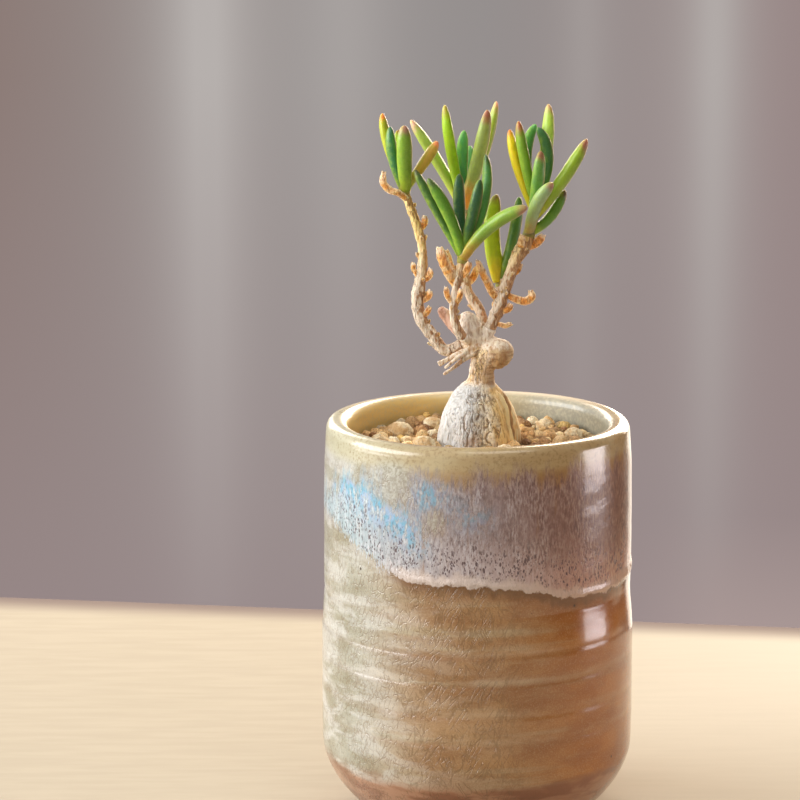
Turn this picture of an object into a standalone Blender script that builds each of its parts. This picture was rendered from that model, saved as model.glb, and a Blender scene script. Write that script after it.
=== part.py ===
"""A small caudex succulent in a glazed stoneware pot, with its soil, stones, stems and leaves.

Units are metres, +Z is up, and the origin is the middle of the foot ring, on the surface it stands on.
The plant's tables are in millimetres and are turned into metres by point().
"""

import math
import random

import bmesh
import bpy
from mathutils import Vector, noise

MM = 0.001
GAP = 0.0003  # between two pieces that touch
SHARP_ANGLE = math.radians(40)

# The pot
POT_HEIGHT = 0.096
POT_SEGMENTS = 36
RIM_RADIUS = 0.0360  # outside, just under the lip
BODY_RADIUS = 0.0369  # outside, where the wall starts to turn in to the foot
WALL_CURVE = 2.6  # how late the wall leans in on its way up from the body to the rim
WALL = 0.0052
LIP_ROUND = WALL / 2
CORNER_HEIGHT = 0.0175  # the wall starts to turn in here
CORNER_POWER = 1.5
CORNER_STEPS = (0.97, 0.86, 0.70, 0.52, 0.34, 0.17)  # shares of the corner's height, from the foot up
FOOT_HEIGHT = 0.0020
FOOT_RADIUS = 0.0245
FOOT_RING_WIDTH = 0.0040
FOOT_CHAMFER = 0.0004
FLOOR_UNDERSIDE = 0.0026
FLOOR_TOP = 0.0085
DRAIN_RADIUS = 0.0045
INNER_CORNER = 0.0100
CORNER_SIDES = 3
RING_PITCH = 0.0072  # throwing rings left by the potter's fingers
RING_COUNT = 5
RING_DEPTH = 0.0003
RING_LOW = 0.0224
RING_HIGH = RING_LOW + RING_COUNT * RING_PITCH
RING_POINTS = 4  # of the profile, on each ring
PLAIN_STEPS = 5  # of the profile, between the rings and the lip
INNER_HEIGHTS = (0.078, 0.060, 0.040)
LIP_STEPS = 6

# The screen over the drain hole
SCREEN_RADIUS = 0.0090
SCREEN_THICKNESS = 0.0009
SCREEN_SEGMENTS = 24
SCREEN_HOLE_RADIUS = 0.0011
SCREEN_HOLE_PITCH = 0.0034

# The soil and its grains
SOIL_TOP = 0.0890
SOIL_RADIUS = RIM_RADIUS - WALL - GAP
GRAIN_COUNT_TRIES = 4000
GRAIN_SPACING = 0.0047
GRAIN_RADIUS = (0.0021, 0.0029)
GRAIN_LIFT = (0.0, 0.0006)  # of a grain's middle above the bed
GRAIN_TO_STONE = 0.0010  # from a grain's middle to a stone's edge
GRAIN_TO_CAUDEX = 0.0012
GRAIN_REACH = SOIL_RADIUS - 0.0031
GRAIN_SEED = 11

# Pale stones on the soil: x, y, radius
STONES = (
    (-12.8, -4.6, 3.2), (-23.4, 1.6, 2.2), (-18.6, 12.6, 3.1), (-10.6, 19.4, 2.8), (23.0, 7.4, 2.7),
    (16.4, 18.2, 2.4), (6.2, -10.6, 2.3), (-17.8, -14.6, 2.6), (-6.4, -19.2, 2.9), (11.4, -20.6, 2.7),
    (21.6, -8.8, 2.5), (2.6, 24.6, 2.7), (1.4, -25.6, 2.2), (-25.0, -6.8, 1.9),
)
STONE_LIFT = 1.0  # of a stone's middle above the soil
STONE_FLATNESS = 0.78
STONE_STRETCH = (0.85, 1.15)
STONE_BUMPS = 0.16  # of the radius
STONE_BUMP_COUNT = 1.7
STONE_SEED = 5

# The caudex: height, x of its middle, radius, from the root tip to the neck
CAUDEX_Y = 1.0
BULB = (
    (71.0, -1.2, 0.9), (77.0, -1.2, 3.4), (83.0, -1.2, 6.6), (87.5, -1.1, 8.3), (90.5, -1.0, 8.8),
    (94.0, -0.9, 8.2), (97.5, -0.5, 7.3), (99.5, -0.3, 6.5), (101.2, 0.0, 5.6), (102.6, 0.3, 4.6),
    (103.8, 0.6, 3.7), (105.2, 0.8, 3.1),
)
WIDEST_BULB_ROW = 4
# The smaller lobe behind it: x, y, z, radius
LOBE = (
    (5.4, 6.0, 82.0, 2.0), (5.6, 5.8, 87.5, 4.5), (5.4, 5.6, 91.5, 4.9), (4.9, 5.0, 95.5, 4.2),
    (3.8, 4.2, 99.5, 3.2), (2.2, 2.8, 103.0, 2.0),
)
WIDEST_LOBE_ROW = 2
FURROW_DEPTH = 0.030  # of the radius
FURROWS, FURROW_TURN = 7, 0.8
SWELLS, SWELL_TURN = 3, 1.9  # wider, softer waves round the bulb
FURROWS_START, FURROWS_END = 0.070, 0.106  # heights where the furrows fade out

# Wood: x, y, z, radius of points up the middle of each limb
NECK = (
    (0.8, 1.0, 103.6, 3.1), (0.8, 0.7, 107.2, 2.95), (1.5, 0.1, 109.6, 3.0), (3.0, -0.4, 111.2, 3.4),
    (4.8, -0.5, 111.5, 3.75), (6.4, -0.5, 111.2, 3.1), (7.6, -0.5, 110.8, 1.9), (8.1, -0.5, 110.6, 0.3),
)
# The stump of each limb, which is one with the caudex. Its branch and green core carry on from its end.
STUMPS = {
    "left": (
        (4.2, 0.0, 112.4, 1.9), (2.8, 0.6, 113.8, 1.9), (1.2, 1.0, 114.3, 1.8), (-1.6, 0.7, 114.2, 1.65),
        (-4.0, 0.5, 113.5, 1.5),
    ),
    "front": ((-0.6, 0.6, 114.2, 1.3), (-2.2, -0.9, 114.8, 1.2), (-3.6, -2.3, 115.9, 1.15)),
    "back": ((1.2, 1.0, 114.3, 1.5), (1.5, 2.6, 115.2, 1.35), (1.5, 4.0, 116.6, 1.3)),
    "right": ((1.4, 0.8, 114.2, 1.6), (2.1, 0.5, 115.6, 1.55), (2.8, 0.3, 117.6, 1.5)),
    "side": (),
}
KNOT = (
    (0.2, 1.0, 114.6, 1.5), (-1.3, 1.1, 116.4, 2.3), (-2.4, 1.2, 118.6, 2.5), (-3.2, 1.3, 120.4, 1.7),
    (-3.5, 1.3, 121.0, 0.7),
)
PINK_STUB = (
    (-1.8, 1.6, 114.4, 1.3), (-4.0, 2.6, 115.8, 1.4), (-6.6, 3.0, 118.6, 1.35), (-8.6, 3.2, 121.2, 1.05),
    (-9.1, 3.2, 121.9, 0.4),
)
DEAD_STICKS = (
    ((0.2, -0.8, 113.4, 0.9), (-3.2, -1.7, 112.2, 0.8), (-6.4, -2.6, 110.4, 0.75), (-9.2, -3.4, 108.7, 0.65)),
    ((0.0, -1.2, 112.2, 0.9), (-2.8, -2.3, 111.3, 0.7), (-5.6, -3.2, 109.6, 0.6), (-8.2, -4.0, 107.9, 0.5)),
)
BRANCHES = {
    "left": (
        (-6.4, 0.5, 112.3, 1.5), (-8.2, 0.5, 112.4, 1.5), (-10.5, 0.9, 115.0, 1.4),
        (-12.7, 1.0, 118.0, 1.45), (-14.0, 1.4, 121.0, 1.6), (-14.2, 1.5, 124.4, 1.65),
        (-13.8, 1.9, 127.5, 1.55),
        (-13.3, 2.0, 130.6, 1.35), (-13.1, 2.0, 133.9, 1.15), (-13.4, 2.0, 137.4, 1.1),
        (-14.4, 2.0, 141.6, 1.2), (-15.6, 2.0, 145.0, 1.15), (-16.5, 2.0, 147.4, 1.05),
        (-17.1, 2.0, 149.0, 1.2),
    ),
    "front": (
        (-4.8, -2.9, 117.7, 1.1), (-5.7, -3.1, 120.2, 1.05),
        (-5.9, -3.0, 123.2, 1.0), (-5.5, -3.0, 126.4, 1.0), (-4.9, -3.0, 129.4, 1.05),
        (-4.3, -3.0, 131.6, 1.15),
        (-3.9, -3.0, 133.6, 1.25),
    ),
    "back": (
        (0.5, 5.4, 120.6, 1.25), (-2.0, 6.4, 124.4, 1.2), (-3.0, 7.1, 127.6, 1.15),
        (-3.3, 8.0, 132.2, 1.1), (-3.5, 8.8, 138.0, 1.05), (-3.5, 9.0, 143.6, 1.2),
    ),
    "right": (
        (4.2, 0.0, 121.0, 1.5), (5.6, -0.5, 125.0, 1.45), (6.6, -1.0, 128.2, 1.4),
        (7.8, -1.6, 131.8, 1.4), (9.0, -2.0, 134.8, 1.5), (10.6, -1.6, 137.5, 1.75),
        (11.6, -1.0, 139.4, 1.55),
    ),
    "side": ((4.6, -0.2, 121.8, 1.2), (5.1, 1.4, 124.2, 1.2), (5.3, 2.8, 126.8, 1.25)),
}
LEFT_SPUR = ((-12.6, 0.9, 118.2, 0.6), (-11.2, 0.2, 117.8, 0.5), (-9.9, -0.2, 116.4, 0.4))
# Dry leaves and scales on each branch: points up the middle, then the width at the root
DRY_LEAVES = {
    "left": (
        (((-16.7, 1.1, 147.7), (-18.8, 0.1, 149.4), (-21.0, 0.2, 150.2), (-22.5, 0.3, 152.0),
          (-22.2, 0.3, 154.6)), 1.9),
        (((-14.0, 1.8, 140.4), (-12.8, 1.5, 142.0), (-12.6, 1.4, 144.0)), 1.5),
        (((-13.2, 1.4, 128.6), (-11.9, 1.0, 129.7), (-11.4, 0.9, 131.6)), 1.6),
        (((-13.6, 1.0, 123.6), (-12.0, 0.6, 124.9), (-11.3, 0.6, 126.4)), 1.6),
        (((-13.9, 0.7, 119.9), (-12.2, 0.2, 121.0), (-11.3, 0.1, 122.6)), 1.4),
        (((-14.4, 1.6, 129.6), (-15.3, 1.7, 131.2), (-15.4, 1.8, 132.8)), 1.3),
    ),
    "front": (
        (((-5.1, -3.3, 127.6), (-7.0, -3.8, 130.6), (-8.7, -4.1, 134.0), (-9.6, -3.8, 137.4)), 3.0),
        (((-5.0, -2.4, 128.4), (-6.7, -1.5, 131.8), (-7.7, -0.9, 136.2)), 2.2),
        (((-4.2, -3.6, 130.2), (-2.9, -4.3, 132.0), (-2.2, -4.6, 134.0)), 1.7),
        (((-5.8, -3.4, 123.4), (-7.3, -3.7, 125.6), (-7.7, -3.7, 128.0)), 1.4),
        (((-5.5, -3.6, 123.8), (-4.6, -4.4, 125.6), (-4.2, -4.5, 127.6)), 1.5),
    ),
    "back": (
        (((-2.7, 7.2, 126.6), (-1.0, 8.0, 128.4), (0.3, 8.4, 131.2)), 1.8),
        (((-3.5, 8.6, 134.4), (-4.9, 9.9, 136.4), (-5.4, 10.9, 138.8)), 1.7),
        (((-3.2, 8.0, 130.0), (-3.4, 9.9, 131.2), (-3.0, 11.0, 133.4)), 1.5),
    ),
    "right": (
        (((4.6, -0.6, 124.0), (2.8, -1.4, 126.6), (0.9, -1.8, 130.4), (-0.4, -2.0, 133.9)), 2.3),
        (((6.2, -0.9, 125.8), (8.6, -1.3, 124.6), (11.0, -1.5, 124.2), (12.4, -1.5, 125.2),
          (12.1, -1.4, 126.8)), 1.9),
        (((4.2, -0.4, 118.6), (6.2, -1.0, 118.2), (7.9, -1.2, 118.8)), 1.3),
        (((5.0, -0.7, 121.4), (6.9, -1.3, 122.2), (7.6, -1.4, 123.6)), 1.6),
        (((9.9, -2.4, 136.0), (9.6, -3.6, 138.2), (9.9, -3.9, 140.4)), 2.0),
        (((11.6, -1.6, 136.9), (13.7, -1.9, 138.2), (15.2, -1.7, 140.0)), 1.9),
        (((7.4, -1.5, 130.2), (9.2, -1.3, 131.2), (10.2, -1.1, 132.9)), 1.3),
    ),
}
DRY_THICKNESS = 1.0  # at the widest
DRY_END_WIDTH = 0.62  # of the full width
DRY_FACE = (0.3, 1.0, 0.2)  # the way a dry leaf's flat side faces

# The green core of each shoot, which carries on from its branch
CORES = {
    "left": ((-17.3, 2.0, 150.4, 1.1), (-17.35, 2.0, 152.0, 0.7)),
    "front": ((-3.7, -3.0, 135.8, 1.2), (-3.6, -3.0, 138.4, 0.8)),
    "back": ((-3.5, 9.05, 145.4, 1.15), (-3.4, 9.1, 147.6, 0.7)),
    "right": ((12.1, -0.7, 141.6, 1.35), (12.8, 0.0, 144.6, 1.3), (13.6, 0.8, 148.4, 0.8)),
    "side": ((5.35, 3.1, 128.4, 1.25), (5.4, 3.2, 130.4, 0.9)),
}
# The leaves of each shoot: where up the core the root is (0 to 1), the tip and the bow as offsets from
# the root, and the width
LEAVES = {
    "left": (
        (0.5, (-5.2, 2.2, 17.4), (-1.0, 0.0, 0.6), 2.8),
        (0.3, (-3.4, -0.6, 15.2), (-0.9, -0.4, 0.0), 3.2),
        (0.4, (-0.2, -3.6, 15.6), (0.0, -0.9, 0.0), 3.7),
        (0.45, (7.6, 0.6, 11.2), (0.6, 0.0, 0.6), 2.9),
        (0.6, (-1.4, 5.2, 12.8), (-0.4, 0.8, 0.0), 2.9),
    ),
    "front": (
        (0.3, (-11.2, 2.0, 20.4), (-0.6, 0.4, 1.0), 2.9),
        (0.35, (-8.2, -2.8, 18.8), (1.0, -0.4, 0.6), 3.6),
        (0.7, (-0.9, 2.6, 17.4), (-0.4, 0.4, 0.0), 2.9),
        (0.7, (3.8, -2.2, 16.8), (0.2, -0.6, 0.0), 3.3),
        (0.5, (5.2, 1.2, 23.2), (2.1, 0.4, 0.0), 3.1),
        (0.3, (14.8, -7.2, 12.9), (-0.6, 0.2, 1.9), 3.7),
    ),
    "back": (
        (0.3, (-12.4, 2.6, 20.6), (0.4, 0.2, 0.4), 3.0),
        (0.4, (-4.4, -2.0, 24.4), (-0.4, -0.4, 0.0), 3.1),
        (0.8, (0.2, 1.6, 16.2), (-0.5, 0.5, 0.0), 2.9),
        (0.35, (5.6, -3.6, 23.6), (0.5, -0.5, 0.0), 3.9),
        (0.4, (7.8, 3.0, 24.6), (0.9, 0.4, 0.0), 2.9),
        (0.6, (1.7, 7.4, 12.6), (0.0, 0.9, 0.4), 2.9),
    ),
    "right": (
        (0.75, (-5.8, 2.2, 18.7), (-0.7, 0.2, 0.0), 3.0),
        (0.85, (-4.1, -1.6, 20.0), (-0.3, -0.5, 0.0), 3.1),
        (0.9, (0.0, 2.6, 18.1), (-2.3, 0.2, 1.2), 2.7),
        (0.9, (0.2, -0.6, 17.8), (2.6, 0.0, 1.2), 2.8),
        (0.8, (3.2, 4.4, 23.8), (0.9, 0.6, 0.0), 2.9),
        (0.6, (12.4, -1.6, 18.6), (0.2, -0.2, -0.8), 3.2),
        (0.35, (2.1, -3.8, 18.4), (0.2, -1.0, 0.0), 3.2),
        (0.14, (5.2, -6.6, 12.8), (-1.0, -0.8, 1.2), 3.6),
        (0.16, (8.3, 1.4, 9.8), (0.6, 0.6, -1.4), 2.8),
    ),
    "side": (
        (0.5, (-1.0, 1.4, 20.2), (-1.6, 0.2, 0.0), 3.4),
        (0.5, (4.2, 0.4, 19.8), (0.6, 0.6, 0.0), 3.2),
    ),
}

LEAF_SIDES = 7
LEAF_STEPS = (0.0, 0.14, 0.34, 0.56, 0.76, 0.9, 0.97)
LEAF_ROOT_WIDTH = 0.58  # of the full width
LEAF_WIDEST = 0.62  # of the length
LEAF_BLUNTNESS = 2.6
LEAF_THICKNESS = 0.86  # of the width
WOOD_SIDES = 8
LIMB_STEPS = 1  # rings per row of a limb's table
STUMP, BRANCH, CORE = 0, 1, 2
WOOD_ROUGHNESS = 0.07  # of the radius
BARK_SCALE = 420.0  # bumps per metre in the noise

COLOURS = {
    "stoneware": ((0.52, 0.37, 0.20, 1.0), 0.18),
    "screen": ((0.03, 0.03, 0.03, 1.0), 0.6),
    "soil": ((0.36, 0.20, 0.11, 1.0), 0.95),
    "stone": ((0.72, 0.62, 0.44, 1.0), 0.9),
    "caudex": ((0.62, 0.55, 0.46, 1.0), 0.85),
    "bark": ((0.55, 0.42, 0.30, 1.0), 0.85),
    "leaf": ((0.22, 0.42, 0.08, 1.0), 0.4),
}


# Helpers


def point(values):
    """A point of the tables, in metres. Anything after x, y and z is left out."""
    return Vector(values[:3]) * MM


def material(name):
    """The named material, made once."""
    found = bpy.data.materials.get(name)
    if found:
        return found
    colour, roughness = COLOURS[name]
    made = bpy.data.materials.new(name)
    made.use_nodes = True
    shader = made.node_tree.nodes["Principled BSDF"]
    shader.inputs["Base Color"].default_value = colour
    shader.inputs["Roughness"].default_value = roughness
    made.diffuse_color = colour
    return made


def add_object(name, bm, material_name):
    """Turns a bmesh into a named, smooth-shaded object."""
    bmesh.ops.recalc_face_normals(bm, faces=bm.faces)
    mesh = bpy.data.meshes.new(name)
    bm.to_mesh(mesh)
    bm.free()
    mesh.materials.append(material(material_name))
    mesh.shade_smooth()
    mesh.set_sharp_from_angle(angle=SHARP_ANGLE)
    made = bpy.data.objects.new(name, mesh)
    bpy.context.scene.collection.objects.link(made)
    return made


def smoothstep(t):
    t = min(1.0, max(0.0, t))
    return t * t * (3 - 2 * t)


def catmull(a, b, c, d, t):
    """The point at t between b and c of a smooth curve through a, b, c and d."""
    return 0.5 * (2 * b + (c - a) * t + (2 * a - 5 * b + 4 * c - d) * t * t + (3 * b - 3 * c + d - a) * t**3)


def smooth_path(table, steps):
    """Points and radii, in metres, of a smooth curve through a table's rows of x, y, z and radius."""
    rows = [Vector(row) * MM for row in table]
    rows = [2 * rows[0] - rows[1], *rows, 2 * rows[-1] - rows[-2]]
    path = []
    for i in range(1, len(rows) - 2):
        for k in range(steps):
            path.append(catmull(*rows[i - 1 : i + 3], k / steps))
    path.append(rows[-2])
    return [Vector(row[:3]) for row in path], [row[3] for row in path]


def sweep(points, radii, sides, face=(0, 1, 0), thickness=1.0, rough=0.0, pole=False, first=0, final=None):
    """A closed tube along points. Its section is round, or thinner towards face.

    With pole, it ends in a point. With first and final, only that stretch of it is made, and its ends face
    the way the whole path runs there.
    """
    bm = bmesh.new()
    normal = Vector(face)
    rings = []
    last = len(points) - 1
    for i, (centre, radius) in enumerate(zip(points, radii)):
        if i < first or (final is not None and i > final):
            continue
        tangent = (points[min(i + 1, last)] - points[max(i - 1, 0)]).normalized()
        normal = (normal - normal.dot(tangent) * tangent).normalized()
        across = tangent.cross(normal)
        if pole and i == last:
            rings.append([bm.verts.new(centre)])
            break
        ring = []
        for k in range(sides):
            angle = 2 * math.pi * k / sides
            out = math.cos(angle) * across + math.sin(angle) * thickness * normal
            bump = 1 + rough * noise.noise((centre + radius * out) * BARK_SCALE)
            ring.append(bm.verts.new(centre + radius * bump * out))
        rings.append(ring)
    for low, high in zip(rings, rings[1:]):
        for k in range(sides):
            m = (k + 1) % sides
            if len(high) == 1:
                bm.faces.new((low[k], low[m], high[0]))
            else:
                bm.faces.new((low[k], low[m], high[m], high[k]))
    bm.faces.new(reversed(rings[0]))
    if len(rings[-1]) > 1:
        bm.faces.new(rings[-1])
    return bm


def lathe(profile, segments):
    """Turns a closed profile of (radius, height) points about Z. Points on the axis are made one."""
    bm = bmesh.new()
    verts = [bm.verts.new((radius, 0, height)) for radius, height in profile]
    edges = [bm.edges.new((a, b)) for a, b in zip(verts, verts[1:])]
    if profile[0][0] > 0:
        edges.append(bm.edges.new((verts[-1], verts[0])))
    turn = {"cent": (0, 0, 0), "axis": (0, 0, 1), "angle": 2 * math.pi, "steps": segments}
    bmesh.ops.spin(bm, geom=verts + edges, use_merge=True, **turn)
    bmesh.ops.remove_doubles(bm, verts=bm.verts, dist=1e-6)
    return bm


def boolean(base, others, operation):
    """Joins others to base, or cuts them from it, and removes them."""
    helpers = bpy.data.collections.new("helpers")
    bpy.context.scene.collection.children.link(helpers)
    for other in others:
        for owner in list(other.users_collection):
            owner.objects.unlink(other)
        helpers.objects.link(other)
    modifier = base.modifiers.new(operation.lower(), "BOOLEAN")
    modifier.operation = operation
    modifier.operand_type = "COLLECTION"
    modifier.collection = helpers
    modifier.solver = "EXACT"
    bpy.context.view_layer.update()
    graph = bpy.context.evaluated_depsgraph_get()
    base.data = bpy.data.meshes.new_from_object(base.evaluated_get(graph))
    base.modifiers.clear()
    for other in others:
        bpy.data.objects.remove(other)
    bpy.data.collections.remove(helpers)
    return base


# The pot, its screen and the soil


def ring_relief(height):
    """How far the throwing rings push the wall out at this height."""
    if not RING_LOW < height < RING_HIGH:
        return 0.0
    fade = min(1.0, (height - RING_LOW) / RING_PITCH, (RING_HIGH - height) / RING_PITCH)
    return RING_DEPTH * fade * math.cos(2 * math.pi * (height - RING_LOW) / RING_PITCH)


def wall_radius(height):
    """The outside of the pot between the corner and the lip."""
    share = (height - CORNER_HEIGHT) / (POT_HEIGHT - LIP_ROUND - CORNER_HEIGHT)
    return BODY_RADIUS + (RIM_RADIUS - BODY_RADIUS) * share**WALL_CURVE + ring_relief(height)


def pot_profile():
    """The pot's section, from the foot up the outside, over the lip and down the inside."""
    ring_inner = FOOT_RADIUS - FOOT_RING_WIDTH
    profile = [
        (DRAIN_RADIUS, FLOOR_UNDERSIDE),
        (ring_inner - 2 * FOOT_CHAMFER, FLOOR_UNDERSIDE),
        (ring_inner - FOOT_CHAMFER, FOOT_CHAMFER),
        (ring_inner, 0.0),
        (FOOT_RADIUS - FOOT_CHAMFER, 0.0),
        (FOOT_RADIUS, FOOT_CHAMFER),
        (FOOT_RADIUS, FOOT_HEIGHT),
    ]
    rise = CORNER_HEIGHT - FOOT_HEIGHT
    for drop in CORNER_STEPS:
        reach = (1 - drop**CORNER_POWER) ** (1 / CORNER_POWER)
        profile.append((FOOT_RADIUS + (BODY_RADIUS - FOOT_RADIUS) * reach, CORNER_HEIGHT - rise * drop))
    lip_height = POT_HEIGHT - LIP_ROUND
    heights = [CORNER_HEIGHT]
    heights += [RING_LOW + RING_PITCH * step / RING_POINTS for step in range(RING_COUNT * RING_POINTS)]
    heights += [RING_HIGH + (lip_height - RING_HIGH) * step / PLAIN_STEPS for step in range(PLAIN_STEPS)]
    profile += [(wall_radius(height), height) for height in heights]
    middle = RIM_RADIUS - LIP_ROUND
    for step in range(LIP_STEPS + 1):
        angle = math.pi * step / LIP_STEPS
        profile.append((middle + LIP_ROUND * math.cos(angle), lip_height + LIP_ROUND * math.sin(angle)))
    inner = RIM_RADIUS - WALL
    profile += [(inner, height) for height in INNER_HEIGHTS]
    profile += corner_points(inner, FLOOR_TOP)
    profile.append((DRAIN_RADIUS, FLOOR_TOP))
    return profile


def corner_points(radius, low):
    """The round corner between a wall and its floor, from the wall down."""
    points = []
    for step in range(CORNER_SIDES + 1):
        angle = math.pi / 2 * step / CORNER_SIDES
        out, up = 1 - math.cos(angle), 1 - math.sin(angle)
        points.append((radius - INNER_CORNER * out, low + INNER_CORNER * up))
    return points


def make_pot():
    return add_object("pot", lathe(pot_profile(), POT_SEGMENTS), "stoneware")


def make_screen():
    """A small disc with holes, which keeps the grains from falling out of the drain hole."""
    low = FLOOR_TOP + GAP
    high = low + SCREEN_THICKNESS
    profile = [(0.0, low), (SCREEN_RADIUS, low), (SCREEN_RADIUS, high), (0.0, high)]
    screen = add_object("drain_screen", lathe(profile, SCREEN_SEGMENTS), "screen")
    middles = [Vector((0.0, 0.0, low))]
    for k in range(6):
        out = Vector((math.cos(math.pi * k / 3), math.sin(math.pi * k / 3), 0.0))
        middles.append(middles[0] + SCREEN_HOLE_PITCH * out)
    reach = Vector((0, 0, 2 * SCREEN_THICKNESS))
    holes = [sweep([middle - reach, middle + reach], [SCREEN_HOLE_RADIUS] * 2, 8) for middle in middles]
    return boolean(screen, [add_object("hole", hole, "screen") for hole in holes], "DIFFERENCE")


def soil_profile():
    """The soil fills the pot, and leaves a recess for the screen underneath."""
    low = FLOOR_TOP + GAP
    over_screen = low + SCREEN_THICKNESS + GAP
    profile = [(0.0, over_screen), (SCREEN_RADIUS + GAP, over_screen), (SCREEN_RADIUS + GAP, low)]
    profile += reversed(corner_points(SOIL_RADIUS, low))
    profile += [(SOIL_RADIUS, SOIL_TOP), (0.0, SOIL_TOP)]
    return profile


def pebble(name, centre, radius, subdivisions, rng, material_name):
    """A rounded, uneven and somewhat flat stone or grain."""
    bm = bmesh.new()
    bmesh.ops.create_icosphere(bm, subdivisions=subdivisions, radius=1.0)
    place_in_noise = Vector((rng.uniform(-5, 5), rng.uniform(-5, 5), rng.uniform(-5, 5)))
    stretch = Vector((rng.uniform(*STONE_STRETCH), rng.uniform(*STONE_STRETCH), STONE_FLATNESS))
    for vert in bm.verts:
        size = radius * (1 + STONE_BUMPS * noise.noise(vert.co * STONE_BUMP_COUNT + place_in_noise))
        vert.co = vert.co * stretch * size
    made = add_object(name, bm, material_name)
    made.location = centre
    return made


def stone(index, extra=0.0, name="stone"):
    """One pale stone. It's the same for the same index, apart from the extra all round."""
    x, y, radius = STONES[index]
    centre = Vector((x * MM, y * MM, SOIL_TOP + STONE_LIFT * MM))
    rng = random.Random(STONE_SEED + index)
    return pebble(name, centre, radius * MM + extra / STONE_FLATNESS, 2, rng, "stone")


def make_stones():
    return [stone(i, name=f"pumice_{i + 1:02d}") for i in range(len(STONES))]


def near_stone(spot, spare):
    return any((spot - Vector((x, y)) * MM).length < radius * MM + spare for x, y, radius in STONES)


def near_caudex(spot, spare):
    _, x, bulb_radius = BULB[WIDEST_BULB_ROW]
    lobe_x, lobe_y, _, lobe_radius = LOBE[WIDEST_LOBE_ROW]
    by_bulb = (spot - Vector((x, CAUDEX_Y)) * MM).length < bulb_radius * MM + spare
    by_lobe = (spot - Vector((lobe_x, lobe_y)) * MM).length < lobe_radius * MM + spare
    return by_bulb or by_lobe


def grain_spots(rng):
    """Places for the soil's grains, at least a spacing apart and clear of the stones and the caudex."""
    spots = []
    for _ in range(GRAIN_COUNT_TRIES):
        reach = GRAIN_REACH * math.sqrt(rng.random())
        angle = rng.uniform(0, 2 * math.pi)
        spot = Vector((reach * math.cos(angle), reach * math.sin(angle)))
        if near_stone(spot, GRAIN_TO_STONE) or near_caudex(spot, GRAIN_TO_CAUDEX):
            continue
        if all((spot - other).length > GRAIN_SPACING for other in spots):
            spots.append(spot)
    return spots


def make_soil():
    """The soil's bed with its grains fused on, and plain hollows for the caudex and the stones."""
    rng = random.Random(GRAIN_SEED)
    soil = add_object("soil", lathe(soil_profile(), POT_SEGMENTS), "soil")
    grains = []
    for spot in grain_spots(rng):
        centre = Vector((spot.x, spot.y, SOIL_TOP + rng.uniform(*GRAIN_LIFT)))
        grains.append(pebble("grain", centre, rng.uniform(*GRAIN_RADIUS), 1, rng, "soil"))
    boolean(soil, grains, "UNION")
    cutters = [stone(i, GAP) for i in range(len(STONES))]
    cutters += [bulb(GAP), lobe(GAP)]
    return boolean(soil, cutters, "DIFFERENCE")


# The caudex and its limbs


def bulb(extra=0.0):
    """The swollen base, from its root up to the neck, with shallow furrows down it."""
    points, radii = smooth_path([(x, CAUDEX_Y, z, radius) for z, x, radius in BULB], 1)
    points[0].z -= extra
    made = add_object("bulb", sweep(points, [r + extra for r in radii], 20), "caudex")
    middle = Vector((BULB[WIDEST_BULB_ROW][1], CAUDEX_Y)) * MM
    for vert in made.data.vertices:
        out = vert.co.xy - middle
        angle = math.atan2(out.y, out.x)
        fade = smoothstep((vert.co.z - FURROWS_START) / 0.020) * smoothstep((FURROWS_END - vert.co.z) / 0.008)
        furrow = math.sin(FURROWS * angle + FURROW_TURN) + 0.7 * math.sin(SWELLS * angle + SWELL_TURN)
        vert.co.xy = middle + out * (1 + FURROW_DEPTH * fade * furrow)
    return made


def lobe(extra=0.0):
    points, radii = smooth_path(LOBE, 1)
    points[0].z -= extra
    return add_object("lobe", sweep(points, [r + extra for r in radii], 12), "caudex")


def limb(table, steps=2, sides=WOOD_SIDES, pole=False, name="limb"):
    """One woody tube along a table's rows."""
    points, radii = smooth_path(table, steps)
    return add_object(name, sweep(points, radii, sides, rough=WOOD_ROUGHNESS, pole=pole), "bark")


def limb_part(side, part, name):
    """The stump, the branch or the core of a limb. The three follow one path, with a gap at each joint."""
    stump, branch, core = STUMPS[side], BRANCHES[side], CORES[side]
    points, radii = smooth_path((*stump, *branch, *core), LIMB_STEPS)
    stump_end = max(0, len(stump) - 1) * LIMB_STEPS
    branch_end = (len(stump) + len(branch) - 1) * LIMB_STEPS
    first, final = ((0, stump_end), (stump_end, branch_end), (branch_end, len(points) - 1))[part]
    if first:
        points[first] += (points[first + 1] - points[first - 1]).normalized() * GAP
    sides = LEAF_SIDES if part == CORE else WOOD_SIDES
    rough = 0.0 if part == CORE else WOOD_ROUGHNESS
    tube = sweep(points, radii, sides, rough=rough, first=first, final=final)
    return add_object(name, tube, "leaf" if part == CORE else "bark"), points[first : final + 1]


def make_caudex():
    """Base, neck, the crook on top, the stumps of pruned limbs and the dead sticks, all grown as one."""
    caudex = bulb()
    caudex.name = "caudex"
    parts = [lobe(), limb(NECK, sides=12, pole=True)]
    parts += [limb_part(side, STUMP, "stump")[0] for side in STUMPS if STUMPS[side]]
    parts += [limb(table, pole=True) for table in (KNOT, PINK_STUB)]
    parts += [limb(table, steps=1, sides=6) for table in DEAD_STICKS]
    return boolean(caudex, parts, "UNION")


# The branches and their leaves


def dry_leaf(table, width):
    """A withered leaf or scale: a thin blade that narrows to a blunt tip."""
    points, _ = smooth_path([(*row, 0.0) for row in table], 2)
    last = len(points) - 1
    swell = [math.sin(math.pi * (0.2 + 0.8 * i / last)) for i in range(last + 1)]
    radii = [width * MM / 2 * (DRY_END_WIDTH + (1 - DRY_END_WIDTH) * share) for share in swell]
    thin = DRY_THICKNESS / width
    return add_object("dry", sweep(points, radii, 6, face=DRY_FACE, thickness=thin), "bark")


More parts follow.
